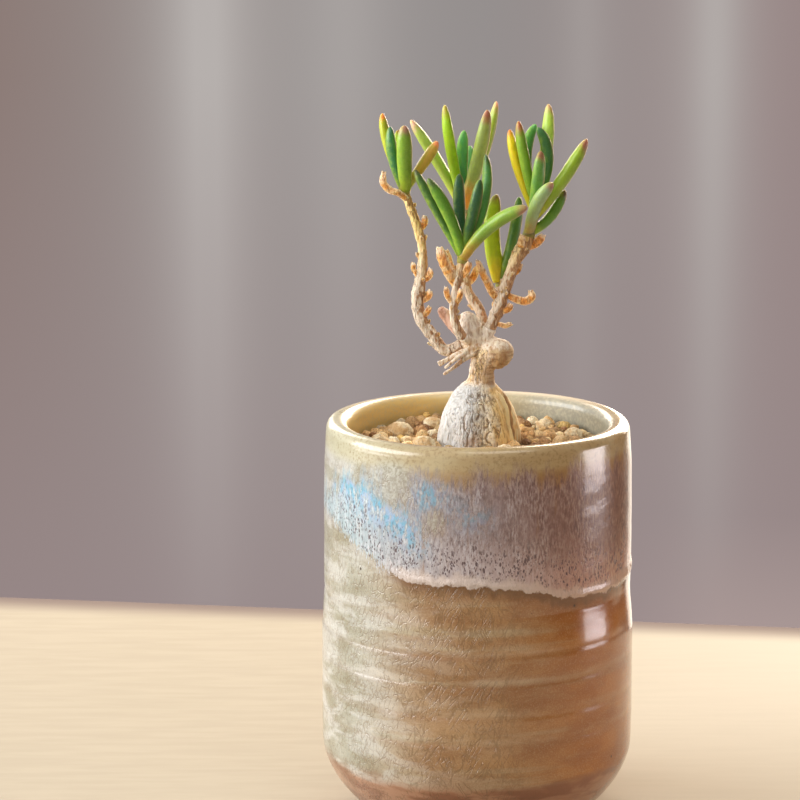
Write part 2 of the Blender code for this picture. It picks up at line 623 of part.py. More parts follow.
def make_branch(side):
    """A woody branch, fused with its twigs and dry leaves."""
    branch, _ = limb_part(side, BRANCH, f"{side}_stem")
    parts = [dry_leaf(table, width) for table, width in DRY_LEAVES[side]]
    if side == "left":
        parts.append(limb(LEFT_SPUR, steps=1, sides=6))
    if side == "right":
        parts.append(limb_part("side", BRANCH, "twig")[0])
    return boolean(branch, parts, "UNION")


def leaf_radius(t):
    """A leaf's half width at t along it, as a share of its greatest half width."""
    if t < LEAF_WIDEST:
        return LEAF_ROOT_WIDTH + (1 - LEAF_ROOT_WIDTH) * smoothstep(t / LEAF_WIDEST)
    return math.sqrt(1 - ((t - LEAF_WIDEST) / (1 - LEAF_WIDEST)) ** LEAF_BLUNTNESS)


def leaf(root, tip, bow, width):
    """A plump finger-shaped leaf from root to root + tip. Bow moves its middle off the straight line."""
    tip, bow = point(tip), point(bow)
    turn = root + tip / 2 + 2 * bow
    end = root + tip
    points = [root * (1 - t) ** 2 + 2 * turn * t * (1 - t) + end * t * t for t in (*LEAF_STEPS, 1.0)]
    radii = [width * MM / 2 * leaf_radius(t) for t in LEAF_STEPS] + [0.0]
    face = Vector((tip.x, tip.y, 0.0)) if tip.xy.length > MM else Vector((0, 1, 0))
    bm = sweep(points, radii, LEAF_SIDES, face=face, thickness=LEAF_THICKNESS, pole=True)
    return add_object("leaf", bm, "leaf")


def along(points, share):
    """The point at a share of the way through a list of points."""
    place = share * (len(points) - 1)
    i = min(int(place), len(points) - 2)
    return points[i].lerp(points[i + 1], place - i)


def make_shoot(side):
    """A shoot's green core with all its leaves sunk into it."""
    core, points = limb_part(side, CORE, f"{side}_leaves")
    leaves = [leaf(along(points, share), tip, bow, width) for share, tip, bow, width in LEAVES[side]]
    return boolean(core, leaves, "UNION")


def main():
    for old in list(bpy.data.objects):
        bpy.data.objects.remove(old)
    make_pot()
    make_screen()
    make_soil()
    make_stones()
    make_caudex()
    for side in DRY_LEAVES:
        make_branch(side)
    for side in CORES:
        make_shoot(side)


main()
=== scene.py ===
import math
import random

import bmesh
import bpy
import numpy as np
from mathutils import Matrix, Vector, noise


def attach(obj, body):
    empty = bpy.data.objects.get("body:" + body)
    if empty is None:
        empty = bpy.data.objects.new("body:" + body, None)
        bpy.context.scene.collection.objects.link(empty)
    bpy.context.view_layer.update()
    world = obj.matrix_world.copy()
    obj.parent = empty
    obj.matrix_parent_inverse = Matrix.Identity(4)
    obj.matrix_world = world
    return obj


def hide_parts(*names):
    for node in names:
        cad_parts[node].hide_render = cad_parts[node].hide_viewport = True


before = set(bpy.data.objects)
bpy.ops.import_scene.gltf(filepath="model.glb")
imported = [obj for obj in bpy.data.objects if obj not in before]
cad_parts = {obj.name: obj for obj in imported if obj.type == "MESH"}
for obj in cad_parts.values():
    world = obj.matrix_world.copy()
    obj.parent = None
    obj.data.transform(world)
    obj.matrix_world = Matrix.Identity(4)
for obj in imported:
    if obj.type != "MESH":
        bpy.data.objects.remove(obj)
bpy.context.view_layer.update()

# Lengths are in metres unless a comment says millimetres. +Z is up and the pot's axis is at x = y = 0.
MM = 0.001


# Camera and light

# The photograph's width and its camera's focal length, both in pixels
PHOTO_WIDTH, PHOTO_FOCUS = 800, 4109
SENSOR_WIDTH = 36
CAMERA_PLACE = (-0.0184, -0.950, 0.2927)
CAMERA_DOWN = 11.449


def look_at(thing, target):
    """Turns an object so that its -Z points at target."""
    thing.rotation_euler = (Vector(target) - thing.location).to_track_quat("-Z", "Y").to_euler()


camera = bpy.data.objects.new("camera", bpy.data.cameras.new("camera"))
bpy.context.scene.collection.objects.link(camera)
camera.data.sensor_width = SENSOR_WIDTH
camera.data.lens = PHOTO_FOCUS / PHOTO_WIDTH * SENSOR_WIDTH
camera.location = CAMERA_PLACE
camera.rotation_euler = (math.radians(90 - CAMERA_DOWN), 0, 0)
camera.data.clip_start = 0.05
camera.data.clip_end = 20
bpy.context.scene.camera = camera


def area_light(name, place, target, size, energy, colour):
    data = bpy.data.lights.new(name, "AREA")
    data.shape = "RECTANGLE"
    data.size, data.size_y = size
    data.energy = energy
    data.color = colour
    made = bpy.data.objects.new(name, data)
    made.location = place
    look_at(made, target)
    made.visible_camera = False
    bpy.context.scene.collection.objects.link(made)
    return made


# Node helpers


def srgb(red, green, blue):
    """A colour from its 0 to 255 values, as the shaders take it."""
    shares = [value / 255 for value in (red, green, blue)]
    return tuple(s / 12.92 if s <= 0.04045 else ((s + 0.055) / 1.055) ** 2.4 for s in shares) + (1.0,)


class Value:
    """What a node gives, ready for sums and products."""

    def __init__(self, nodes, socket):
        self.nodes = nodes
        self.socket = socket

    def __add__(self, other):
        return self.nodes.math("ADD", self, other)

    def __sub__(self, other):
        return self.nodes.math("SUBTRACT", self, other)

    def __rsub__(self, other):
        return self.nodes.math("SUBTRACT", other, self)

    def __mul__(self, other):
        return self.nodes.math("MULTIPLY", self, other)

    def __truediv__(self, other):
        return self.nodes.math("DIVIDE", self, other)

    def __rtruediv__(self, other):
        return self.nodes.math("DIVIDE", other, self)

    def clamped(self):
        """The same value, which its own node now keeps between 0 and 1."""
        self.socket.node.use_clamp = True
        return self

    def beside(self, name):
        """Another output of the same node."""
        return Value(self.nodes, self.socket.node.outputs[name])


class Nodes:
    """A node tree, written as short calls. An input may be a number, a vector, a colour or a Value."""

    def __init__(self, tree):
        self.tree = tree
        tree.nodes.clear()

    def add(self, kind, inputs=None, output=0, **settings):
        """Makes a node and gives one of its outputs."""
        node = self.tree.nodes.new(kind)
        for key, value in settings.items():
            setattr(node, key, value)
        for key, value in (inputs or {}).items():
            if isinstance(value, Value):
                self.tree.links.new(value.socket, node.inputs[key])
            else:
                node.inputs[key].default_value = value
        return Value(self, node.outputs[output])

    def close(self, kind, shader):
        """Makes the output node and hands it the shader."""
        self.tree.links.new(shader.socket, self.tree.nodes.new(kind).inputs[0])

    def math(self, operation, a, b):
        return self.add("ShaderNodeMath", {0: a, 1: b}, operation=operation)

    def mix(self, share, *colours):
        """A blend of two colours, each a Value or a triple of 0 to 255."""
        a, b = (srgb(*colour) if isinstance(colour, tuple) else colour for colour in colours)
        return self.add("ShaderNodeMix", {0: share, 6: a, 7: b}, 2, data_type="RGBA")

    def slope(self, value, low, high, top=1.0):
        """0 below low, top above high and straight between."""
        return self.add("ShaderNodeMapRange", {0: value, 1: low, 2: high, 3: 0.0, 4: top})

    def step(self, value, low, high):
        """0 below low, 1 above high and smooth between. Low may be above high."""
        inputs = {1: low, 2: high, 3: 0.0, 4: 1.0} if low < high else {1: high, 2: low, 3: 1.0, 4: 0.0}
        inputs[0] = value
        return self.add("ShaderNodeMapRange", inputs, interpolation_type="SMOOTHSTEP")

    def ramp(self, value, low, high, a, b):
        """The first colour where the value is low, and the second where it is high."""
        return self.mix(self.step(value, low, high), a, b)

    def parts(self, vector):
        first = self.add("ShaderNodeSeparateXYZ", {0: vector})
        return [first.beside(axis) for axis in "XYZ"]


class Shader(Nodes):
    """The nodes of a material. Patterns lie in the place on the object, in metres."""

    def __init__(self, name):
        self.material = bpy.data.materials.new(name)
        self.material.use_nodes = True
        super().__init__(self.material.node_tree)
        self.place = self.add("ShaderNodeTexCoord", output="Object")

    def shift(self, operation, a, b):
        return self.add("ShaderNodeVectorMath", {0: a, 1: b}, operation=operation)

    def noise(self, scale, detail=3.0, roughness=0.55, distortion=0.0, place=None):
        """Cloudy noise. Three scales draw it out along the axis with the smallest."""
        place = place or self.place
        if isinstance(scale, tuple):
            place, scale = self.shift("MULTIPLY", place, scale), 1.0
        inputs = {"Vector": place, "Scale": scale, "Detail": detail, "Roughness": roughness}
        inputs["Distortion"] = distortion
        return self.add("ShaderNodeTexNoise", inputs, "Fac")

    def wobbled(self, scales, wobble, amount, place=None):
        """The place scaled on each axis and shifted about by noise, to break up regular cells."""
        place = self.shift("MULTIPLY", place or self.place, scales)
        drift = self.add("ShaderNodeTexNoise", {"Vector": place, "Scale": wobble, "Detail": 2.0}, "Color")
        drift = self.shift("SUBTRACT", drift, (0.5, 0.5, 0.5))
        return self.shift("ADD", place, self.shift("MULTIPLY", drift, (amount,) * 3))

    def cells(self, place, scale=1.0, feature="F1"):
        """How far each spot is from its cell's middle."""
        inputs = {"Vector": place, "Scale": scale}
        return self.add("ShaderNodeTexVoronoi", inputs, "Distance", feature=feature)

    def borders(self, scales, wobble, amount, place=None):
        """How far each spot is from the borders of wobbled cells."""
        return self.cells(self.wobbled(scales, wobble, amount, place), 1.0, "DISTANCE_TO_EDGE")

    def tint(self):
        return self.add("ShaderNodeAttribute", None, "Color", attribute_name="tint")

    def facts(self, name):
        """The three numbers that a piece's points carry under a name."""
        return self.parts(self.add("ShaderNodeAttribute", None, "Vector", attribute_name=name))

    def bump(self, height, distance, strength=1.0):
        return self.add("ShaderNodeBump", {"Height": height, "Distance": distance, "Strength": strength})

    def finish(self, inputs):
        self.close("ShaderNodeOutputMaterial", self.add("ShaderNodeBsdfPrincipled", inputs))
        return self.material


# Mesh helpers


def add_mesh(name, verts, faces, materials, attributes=None):
    """A smooth mesh object from metres. Attributes are named arrays with a row of 3 or 4 for each vertex."""
    mesh = bpy.data.meshes.new(name)
    mesh.from_pydata([tuple(v) for v in verts], [], faces)
    for material in materials:
        mesh.materials.append(material)
    for key, rows in (attributes or {}).items():
        rows = np.asarray(rows, dtype=np.float32)
        colour = rows.shape[1] == 4
        layer = mesh.attributes.new(key, "FLOAT_COLOR" if colour else "FLOAT_VECTOR", "POINT")
        layer.data.foreach_set("color" if colour else "vector", rows.ravel())
    mesh.shade_smooth()
    made = bpy.data.objects.new(name, mesh)
    bpy.context.scene.collection.objects.link(made)
    return made


def dress(piece, slot, *nodes):
    """Attaches the piece to the root body and hides the CAD parts that it stands for. The slot is not used.
    """
    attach(piece, "root")
    if nodes:
        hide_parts(*nodes)
    return piece


def smoothstep(t):
    t = np.clip(t, 0.0, 1.0)
    return t * t * (3 - 2 * t)


def bell(value, centre, width):
    """1 at a centre and 0 far from it."""
    return np.exp(-(((value - centre) / width) ** 2))


def bump_at(angle, centre, width):
    """A bell on the circle, in degrees."""
    return bell((angle - centre + 180) % 360 - 180, 0, width)


def blurred(values, reach, width, mode):
    """Evenly spaced values smoothed by a bell, whose reach and width are in steps."""
    kernel = bell(np.arange(-reach, reach + 1), 0, width)
    return np.convolve(np.pad(values, reach, mode=mode), kernel / kernel.sum(), "valid")


def facts_of(*columns):
    """A row of facts for each point."""
    return np.stack(np.broadcast_arrays(*columns), axis=-1).reshape(-1, len(columns))


def smooth_path(table, steps):
    """Rows in millimetres of a smooth curve through a table's rows."""
    rows = [Vector(row) for row in table]
    rows = [2 * rows[0] - rows[1], *rows, 2 * rows[-1] - rows[-2]]
    path = []
    for i in range(1, len(rows) - 2):
        a, b, c, d = rows[i - 1 : i + 3]
        for k in range(steps):
            t = k / steps
            bend = 2 * b + (c - a) * t + (2 * a - 5 * b + 4 * c - d) * t * t
            path.append(0.5 * (bend + (3 * b - 3 * c + d - a) * t**3))
    path.append(rows[-2])
    return path


def frames(points, face):
    """Two directions across a path at each of its points, the second facing the given way at first."""
    normal = Vector(face)
    found = []
    last = len(points) - 1
    for i in range(last + 1):
        tangent = (points[min(i + 1, last)] - points[max(i - 1, 0)]).normalized()
        normal = (normal - normal.dot(tangent) * tangent).normalized()
        found.append((tangent.cross(normal), normal, tangent))
    return found


def spokes(sides, across, normal):
    """The angle of each side of a tube, and the way out to it."""
    for k in range(sides):
        angle = 2 * math.pi * k / sides
        yield angle, math.cos(angle) * across + math.sin(angle) * normal


def tube_faces(rings, sides, first=0):
    """The faces of a closed tube of rings, with a fan on both ends' middle points, which follow the rings."""
    faces = []
    for i in range(rings - 1):
        for k in range(sides):
            m = (k + 1) % sides
            low, high = first + i * sides, first + (i + 1) * sides
            faces.append((low + k, low + m, high + m, high + k))
    start, end = first + rings * sides, first + rings * sides + 1
    top = first + (rings - 1) * sides
    for k in range(sides):
        m = (k + 1) % sides
        faces.append((first + m, first + k, start))
        faces.append((top + k, top + m, end))
    return faces


def grid_faces(rows, columns):
    """The faces between rows of points that follow one another."""
    starts = (i * columns + k for i in range(rows - 1) for k in range(columns - 1))
    return [(a, a + 1, a + columns + 1, a + columns) for a in starts]


def join(verts, faces, more, more_faces):
    """Adds one piece's points and faces to lists that already hold others."""
    first = len(verts)
    verts.extend(more)
    faces.extend(tuple(first + i for i in face) for face in more_faces)


# Pot, in millimetres

POT_SEGMENTS = 320
POT_HEIGHT = 96.0
LIP_HALF = 2.6
LIP_BASE = POT_HEIGHT - LIP_HALF
WALL = 5.2
FOOT_RADIUS, FOOT_HEIGHT = 24.5, 2.0
CORNER_HEIGHT, CORNER_POWER = 17.5, 1.5
CORNER_STEPS = LIP_STEPS = 24
# Parts of the skin
UNDERNEATH, OUTSIDE, LIP, INSIDE = range(4)
# Radius and height of the drain hole's lower mouth, the recess, the foot ring and the hole's upper mouth
HOLE = ((4.5, 5.5), (4.5, 3.0), (4.9, 2.62))
RECESS_RADIUS, RECESS_HEIGHT = 19.7, 2.6
FOOT_RING = (
    (20.0, 1.4), (20.3, 0.35), (20.7, 0.02), (21.6, 0.0), (23.0, 0.0), (23.9, 0.04),
    (24.35, 0.3), (24.5, 0.9), (24.5, 1.6),
)
HOLE_TOP = ((4.9, 8.5), (4.5, 8.1))
# The floor's corner inside: how far in from the wall, and the height
FLOOR = ((2.5, 14.0), (6.0, 10.0), (12.0, 8.6))
# Height and radius of the wall
WALL_ROWS = (
    (17.5, 36.72), (20, 36.90), (26, 37.00), (34, 37.00), (41, 37.00),
    (46.3, 36.98), (48, 36.90), (55.2, 36.28), (57, 36.29), (60, 36.39),
    (66, 36.44), (76, 36.42), (86, 36.30), (88, 36.24), (93.4, 35.93),
)
# Each throwing ring: its height, and how far its groove and the hollow over it reach in
RINGS = (
    (26.3, 0.13, 0.10), (32.6, 0.15, 0.13), (40.5, 0.16, 0.16),
    (47.6, 0.18, 0.10), (56.4, 0.10, 0.06), (87.0, 0.04, 0.0),
)
GROOVE_WIDTH, HOLLOW_WIDTH = 0.45, 2.2
# Angle from the front toward +X in degrees, then the heights of the blue band's edges
BAND = (
    (-180, 66.0, 86.0), (-140, 70.0, 84.0), (-105, 75.0, 82.0), (-75, 75.4, 82.0), (-60, 72.5, 86.9),
    (-45, 68.7, 88.4), (-34, 65.7, 89.0), (-28, 64.4, 89.6), (-18, 64.0, 90.2), (0, 64.0, 90.3),
    (8, 63.5, 90.3), (20, 62.1, 90.2), (36, 59.6, 90.0), (52, 59.3, 89.6), (68, 59.8, 89.2),
    (100, 61.5, 88.6), (140, 64.5, 88.0), (180, 66.0, 86.0),
)
# Angle and height of a blue diagonal that comes down from the rim
DIAGONAL = ((-100, 88), (-75, 87), (-58, 85), (-45, 82), (-35, 79.5), (-25, 75), (-15, 72), (0, 67))


def pot_sections():
    """The skin as rows of radius, height and part, from the drain hole out, up, over the lip and in."""
    rows = [(*row, UNDERNEATH) for row in HOLE]
    recess = np.linspace(HOLE[-1][0], RECESS_RADIUS, 7)[1:]
    rows += [(radius, RECESS_HEIGHT, UNDERNEATH) for radius in recess]
    rows += [(*row, UNDERNEATH) for row in FOOT_RING]
    levels, widths = np.array(WALL_ROWS).T
    for k in range(CORNER_STEPS + 1):
        drop = 1 - (k / CORNER_STEPS) ** 1.5
        reach = (1 - drop**CORNER_POWER) ** (1 / CORNER_POWER)
        height = CORNER_HEIGHT - (CORNER_HEIGHT - FOOT_HEIGHT) * drop
        rows.append((FOOT_RADIUS + (widths[0] - FOOT_RADIUS) * reach, height, OUTSIDE))
    fine = np.arange(CORNER_HEIGHT - 4, LIP_BASE + 4, 0.1)
    radii = blurred(np.interp(fine, levels, widths), 20, 7.0, "edge")
    heights = (*np.arange(CORNER_HEIGHT + 0.5, 56, 0.5), *np.arange(56, LIP_BASE, 0.36))
    rows += [(np.interp(height, fine, radii), height, OUTSIDE) for height in heights]
    for k in range(LIP_STEPS + 1):
        angle = math.pi * k / LIP_STEPS
        out, up = math.cos(angle), math.sin(angle)
        reach = math.copysign(abs(out) ** 0.86, out)
        rows.append((widths[-1] - LIP_HALF + LIP_HALF * reach, LIP_BASE + LIP_HALF * up**0.9, LIP))
    inner = widths[-1] - WALL
    rows += [(inner, LIP_BASE - 0.5 * k, INSIDE) for k in range(1, 14)]
    rows += [(inner, LIP_BASE - 6.5 - 8 * k, INSIDE) for k in range(1, 9)]
    rows += [(inner - narrower, height, INSIDE) for narrower, height in FLOOR]
    return rows + [(*row, INSIDE) for row in HOLE_TOP]


def band_edges(angle):
    """The band's lower and upper edge at each angle, with small waves and drips, and where it is rolled."""
    angles, *edges = np.array(BAND, dtype=float).T
    fine = np.arange(-180, 180, 2.0)
    low, high = (blurred(np.interp(fine, angles, edge), 4, 2.0, "wrap") for edge in edges)
    turn = np.radians(angle)
    rolled = smoothstep((angle + 40) / 14) * smoothstep((150 - angle) / 20)
    waves = 0.24 * np.sin(31 * turn + 0.6) + 0.20 * np.sin(53 * turn + 2.1) + 0.14 * np.sin(87 * turn + 4.0)
    drips = 0.35 * np.maximum(0, np.sin(14 * turn + 1.3 * np.sin(5 * turn))) ** 4
    low_edge = np.interp(angle, fine, low, period=360) - rolled * (0.8 * waves * waves + drips)
    high_edge = np.interp(angle, fine, high, period=360)
    return low_edge + 0.2 * waves, high_edge + 0.5 * waves, rolled


def throwing_rings(angle, level):
    """How deep the rings are cut, and where each gets painted highlight above its groove and painted shade
    below it. Each is a turn of a slow spiral.
    """
    cut, pale, dark = np.zeros((3, *angle.shape))
    for ring, groove, hollow in RINGS:
        middle = ring + 0.5 * np.sin(np.radians(angle) + 0.9 * ring) - 0.5 * math.sin(0.9 + 0.9 * ring)
        strength = (0.75 + 0.25 * np.sin(2 * np.radians(angle) + ring)) * (1 - 0.85 * bump_at(angle, 75, 45))
        above = level - middle
        tail = smoothstep(above / 0.6 + 0.5) * bell(np.clip(above, 0, None), 0, HOLLOW_WIDTH)
        cut += strength * (groove * bell(above, 0, GROOVE_WIDTH) + hollow * tail)
        pale += hollow * 4 * bell(above, 1.1, 0.9)
        dark += groove * 4 * bell(above, -0.4, 0.8)
    return cut, pale, dark


def glaze_zones(angle, level):
    """How far each spot belongs to the milky left, the brown right, the blue strokes and the tan where the
    band wore away. The milky left is partly painted sheen of the window, and the brown right partly painted
    shade.
    """
    left = bump_at(angle, -78, 52)
    right = smoothstep((angle + 5) / 60) * smoothstep((175 - angle) / 40)
    right *= 1 - 0.75 * smoothstep((angle - 66) / 44)
    blue = bell(level, np.interp(angle, *zip(*DIAGONAL)), 5.0)
    blue *= smoothstep((-14 - angle) / 14) * smoothstep((angle + 110) / 20)
    patch = bump_at(angle, -19, 7.5) * bell(level, 85.0, 4.2)
    streaks = bump_at(angle, -3, 8) * bell(level, 80, 3.6)
    blue = np.clip(blue + 0.80 * patch + 0.45 * streaks, 0, 1)
    tan = np.maximum(bell(angle, -34, 12) * bell(level, 86, 6), bell(angle, -17, 5) * bell(level, 79, 5))
    return left, right, blue, tan * (1 - 0.6 * patch)


def make_pot(material):
    rows = pot_sections()
    theta = np.linspace(-180, 180, POT_SEGMENTS, endpoint=False)
    turn = np.radians(theta)
    low_edge, high_edge, rolled = band_edges(theta)
    radius, height, part = (np.array(column, dtype=float)[:, None] for column in zip(*rows))
    angle = np.broadcast_to(theta, (len(rows), POT_SEGMENTS))
    shape, level = radius + 0 * angle, height + 0 * angle
    outside = (part == OUTSIDE) * smoothstep((radius - 27.5) / 3)
    outside = outside + (part == LIP) * smoothstep((radius - 33.5) / 2)
    cut, pale, dark = throwing_rings(angle, level)
    # The shelf under the band's lowest stretch fades toward the left
    shape += outside * (0.16 * bump_at(angle, -90, 70) * bell(level, 57, 6) - cut)
    over, above = level - low_edge, level - high_edge
    in_band = smoothstep(over / 0.5 + 0.5) * smoothstep(0.5 - above / 4)
    roll = rolled * (1 - 0.45 * bump_at(theta, 52, 24)) * bell(over, 0.80, 0.75)
    shape += (part == OUTSIDE) * (0.07 * in_band + 0.26 * roll)
    # Handmade: a little out of round and gently dented all over
    shape += outside * (0.06 * np.sin(2 * turn + 0.8) + 0.04 * np.sin(3 * turn + 2.0))
    level += (part == LIP) * 0.12 * (np.sin(3 * turn + 0.6) - 1)
    x, y = shape * np.sin(turn), -shape * np.cos(turn)
    dents = np.zeros_like(shape)
    for i, k in np.ndindex(shape.shape):
        if part[i, 0] != UNDERNEATH:
            spot = Vector((x[i, k], y[i, k], level[i, k] * 1.6))
            dents[i, k] = 0.045 * noise.noise(spot * 0.16) + 0.012 * noise.noise(spot * 0.7)
            if part[i, 0] == OUTSIDE and roll[i, k] > 0.05:
                dents[i, k] += 0.22 * roll[i, k] * noise.noise(spot * 0.52)
    shape += dents * np.where(part == INSIDE, -1.0, 1.0)
    verts = facts_of(shape * np.sin(turn), -shape * np.cos(turn), level) * MM
    faces = []
    for i in range(len(rows)):
        low, high = i * POT_SEGMENTS, (i + 1) % len(rows) * POT_SEGMENTS
        for k in range(POT_SEGMENTS):
            m = (k + 1) % POT_SEGMENTS
            faces.append((low + k, low + m, high + m, high + k))
    left, right, blue, tan = glaze_zones(angle, level)
    inside = (part == INSIDE) + (part == LIP) * smoothstep((33 - radius) / 2)
    raw = (part == UNDERNEATH) + (part == OUTSIDE) * smoothstep((4.2 - height) / 1.6)
    attributes = {
        "band": facts_of(over, above, rolled),
        "side": facts_of(left, right, blue),
        "glaze": facts_of(tan, inside, raw),
        # The rings' painted highlight and painted shade, on the outside only
        "rings": facts_of(outside * pale, outside * dark, 0.0),
    }
    piece = add_mesh("glazed_pot", verts, faces, [material], attributes)
    return dress(piece, "stoneware", "pot")


# Crackle in three directions: how far it leans, its cells' scales, and the noise under which it is left out
CRACKLE = (
    (-0.55, (900, 900, 150), 0.48), (-0.25, (760, 760, 140), 0.52), (0.5, (820, 820, 190), 0.55),
)


class Glaze(Shader):
    """The stoneware's nodes, with what the pot's points carry and the noises that the layers share."""

    def __init__(self):
        super().__init__("stoneware_glaze")
        self.over, self.above, self.rolled = self.facts("band")
        self.left, self.right, self.blue = self.facts("side")
        self.tan, self.inside, self.raw = self.facts("glaze")
        self.pale_ring, self.dark_ring, _ = self.facts("rings")
        self.x, self.y, self.height = self.parts(self.place)
        # Upright strokes where the glaze ran, longer drips, cloudy mottling and the edge's waves
        self.strokes = self.noise((2300, 2300, 620), 4.0, 0.62)
        self.drips = self.noise((420, 420, 60), 4.0, 0.55)
        self.broad = self.noise((170, 170, 110), 3.0, 0.55)
        self.clouds = self.noise((70, 70, 130), 4.0, 0.52)
        self.mottle = self.noise(1300, 4.0, 0.6)
        self.grainy = self.noise(3000, 3.0, 0.6)
        self.smears = self.noise((70, 70, 240), 4.0, 0.6, 0.5)
        self.scallops = self.noise((400, 400, 300), 1.5) - 0.5
        self.lumpy = self.over + self.scallops * 3.6


def tan_body(s):
    """The tan glaze: paler to the left, browner to the right and near the foot. This is partly the glaze's
    own colour, partly painted sheen on the left and painted shade on the right and near the foot.
    """
    body = s.ramp(s.clouds, 0.36, 0.66, (150, 105, 62), (174, 133, 88))
    body = s.mix(s.right, body, s.ramp(s.clouds, 0.30, 0.70, (156, 88, 32), (182, 112, 44)))
    calm = 1.0 - s.right * 0.55
    body = s.mix(s.step(s.smears, 0.50, 0.66) * calm * 0.16, body, (190, 160, 116))
    body = s.mix(s.step(s.smears, 0.48, 0.34) * calm * 0.14, body, (128, 84, 46))
    # Soft pale horizontal bands, weaker to the right: painted reflection of the window
    painted_sheen_bands = s.step(s.noise((10, 10, 300), 3.0, 0.55), 0.48, 0.68)
    reach = 0.66 - s.right * 0.50
    body = s.mix(painted_sheen_bands * reach * s.step(s.clouds, 0.30, 0.60), body, (182, 166, 132))
    # Greyer and creamier to the left: partly the glaze, partly painted sheen of the window
    greyed = s.ramp(s.clouds, 0.3, 0.7, (144, 140, 120), (172, 171, 158))
    body = s.ramp(s.left, 0.05, 0.85, body, greyed)
    cream = s.step(s.smears, 0.42, 0.60) * s.left * 0.50
    body = s.mix(cream, body, (214, 214, 211))
    # Painted highlight over each ring, where its hollow catches the window, and painted shade under its
    # groove
    side_share = 1.1 - s.right * 0.60
    ring_highlight_share = s.pale_ring * side_share * s.step(s.smears, 0.30, 0.58)
    body = s.mix((ring_highlight_share * 0.62).clamped(), body, s.mix(s.left, (208, 184, 150), (222, 223, 221)))
    bare = s.dark_ring * (1.0 - s.left * 0.5)
    body = s.mix((bare * 0.40).clamped(), body, (132, 82, 42))
    body = s.mix(s.step(s.grainy, 0.50, 0.68) * 0.22, body, (206, 180, 138))
    body = s.mix(s.step(s.grainy, 0.48, 0.30) * 0.30, body, (112, 78, 46))
    # Browner toward the foot: partly the glaze's own colour, partly painted shade where the wall turns under
    low = s.step(s.height + (s.smears - 0.5) * 0.006, 0.0178, 0.0140)
    low_colour = s.ramp(s.smears, 0.4, 0.6, (136, 84, 58), (168, 118, 86))
    body = s.mix(low * 0.85, body, low_colour)
    # Rim: the glaze is thin, olive-tan on the lip and brown under it
    lip = s.step(s.height, 0.0885, 0.0915)
    body = s.mix(lip * 0.85, body, s.mix(s.left, (184, 160, 116), (184, 180, 152)))
    body = s.mix(lip * s.step(s.mottle, 0.52, 0.34) * 0.45, body, (132, 104, 66))
    body = s.mix(lip * s.step(s.clouds, 0.50, 0.64) * 0.35, body, (204, 192, 158))
    # The back of the lip is paler: painted light on its top
    painted_light_back_lip = lip * s.step(s.y, 0.005, 0.030)
    body = s.mix(painted_light_back_lip * 0.9, body, (246, 228, 200))
    brown = s.step(s.height, 0.0840, 0.0885) * s.step(s.height, 0.0915, 0.0890)
    return s.mix(brown * (0.75 - s.left).clamped(), body, (158, 122, 76))


def dark_specks(s):
    """Small dark specks, drawn down by the run of the glaze."""
    dots = None
    for scale, odds_from, largest in ((1.30, -0.45, 0.38), (0.72, 0.10, 0.38)):
        specks = s.cells(s.wobbled((1750 * scale, 1750 * scale, 900 * scale), 0.9, 0.9))
        size = s.step(s.parts(specks.beside("Color"))[0], odds_from, 1.0) * largest
        found = s.step(specks - size, 0.09, -0.07)
        dots = found if dots is None else s.math("MAXIMUM", dots, found)
    thick = (s.step(s.over, 14.0, 5.0) + s.left * 0.4).clamped()
    thick = (thick * 0.75 + 0.15).clamped()
    patchy = s.step(s.noise((420, 420, 260), 2.0), 0.34, 0.48)
    return dots * patchy * thick


def band_colour(s, dots):
    """Lavender below and mauve above, rosy brown to the right and milky blue-white to the left. The right's
    brown is partly painted shade and the left's blue-white partly painted sheen of the window.
    """
    upper = s.step(s.over + (s.clouds - 0.5) * 12.0, 3.0, 15.0)
    band = s.mix(upper, (190, 168, 166), (148, 119, 115))
    band = s.mix(s.right, band, s.mix(upper, (188, 132, 104), (134, 94, 76)))
    blotches = s.noise((640, 640, 330), 4.0, 0.65)
    band = s.mix(s.step(blotches, 0.50, 0.64) * 0.35, band, s.mix(s.right, (196, 184, 186), (176, 138, 112)))
    band = s.mix(s.step(blotches, 0.48, 0.34) * 0.35, band, (110, 82, 72))
    # Paler blue-white to the left: partly the glaze, partly painted sheen
    pale = s.ramp(s.drips, 0.35, 0.65, (144, 163, 168), (174, 192, 196))
    band = s.mix((s.left * 1.25).clamped(), band, pale)
    busy = s.step(s.broad, 0.36, 0.62) * 0.7 + 0.3
    light = s.step(s.strokes, 0.48, 0.62) * (0.68 - upper * 0.25) * busy
    band = s.mix(light, band, s.mix(s.right, (206, 200, 204), (196, 166, 138)))
    dim = s.step(s.strokes, 0.48, 0.37) * 0.72 * busy
    band = s.mix(dim, band, s.mix(s.left, (104, 76, 70), (150, 152, 160)))
    rusty = s.step(s.drips, 0.56, 0.70) * (0.5 - s.left * 0.5)
    band = s.mix(rusty, band, (142, 104, 78))
    streaky = s.noise((900, 900, 420), 4.0, 0.65)
    azure = s.blue * s.step(streaky, 0.40, 0.56) * (s.step(s.over, 2.5, 8.0) * 0.55 + 0.45)
    sky = s.ramp(s.noise(420, 3.0), 0.42, 0.58, (104, 172, 200), (148, 176, 208))
    band = s.mix(azure * 0.85, band, sky)
    foam = s.blue * s.step(streaky, 0.46, 0.34)
    band = s.mix(foam * 0.70, band, (204, 216, 220))
    band = s.mix(dots * 0.95, band, (70, 46, 52))
    # Rolled lower edge
    edge = s.step(s.lumpy, 3.4, 1.4) * s.rolled
    return s.mix(edge * 0.80, band, s.mix(s.right, (214, 196, 184), (200, 164, 138)))


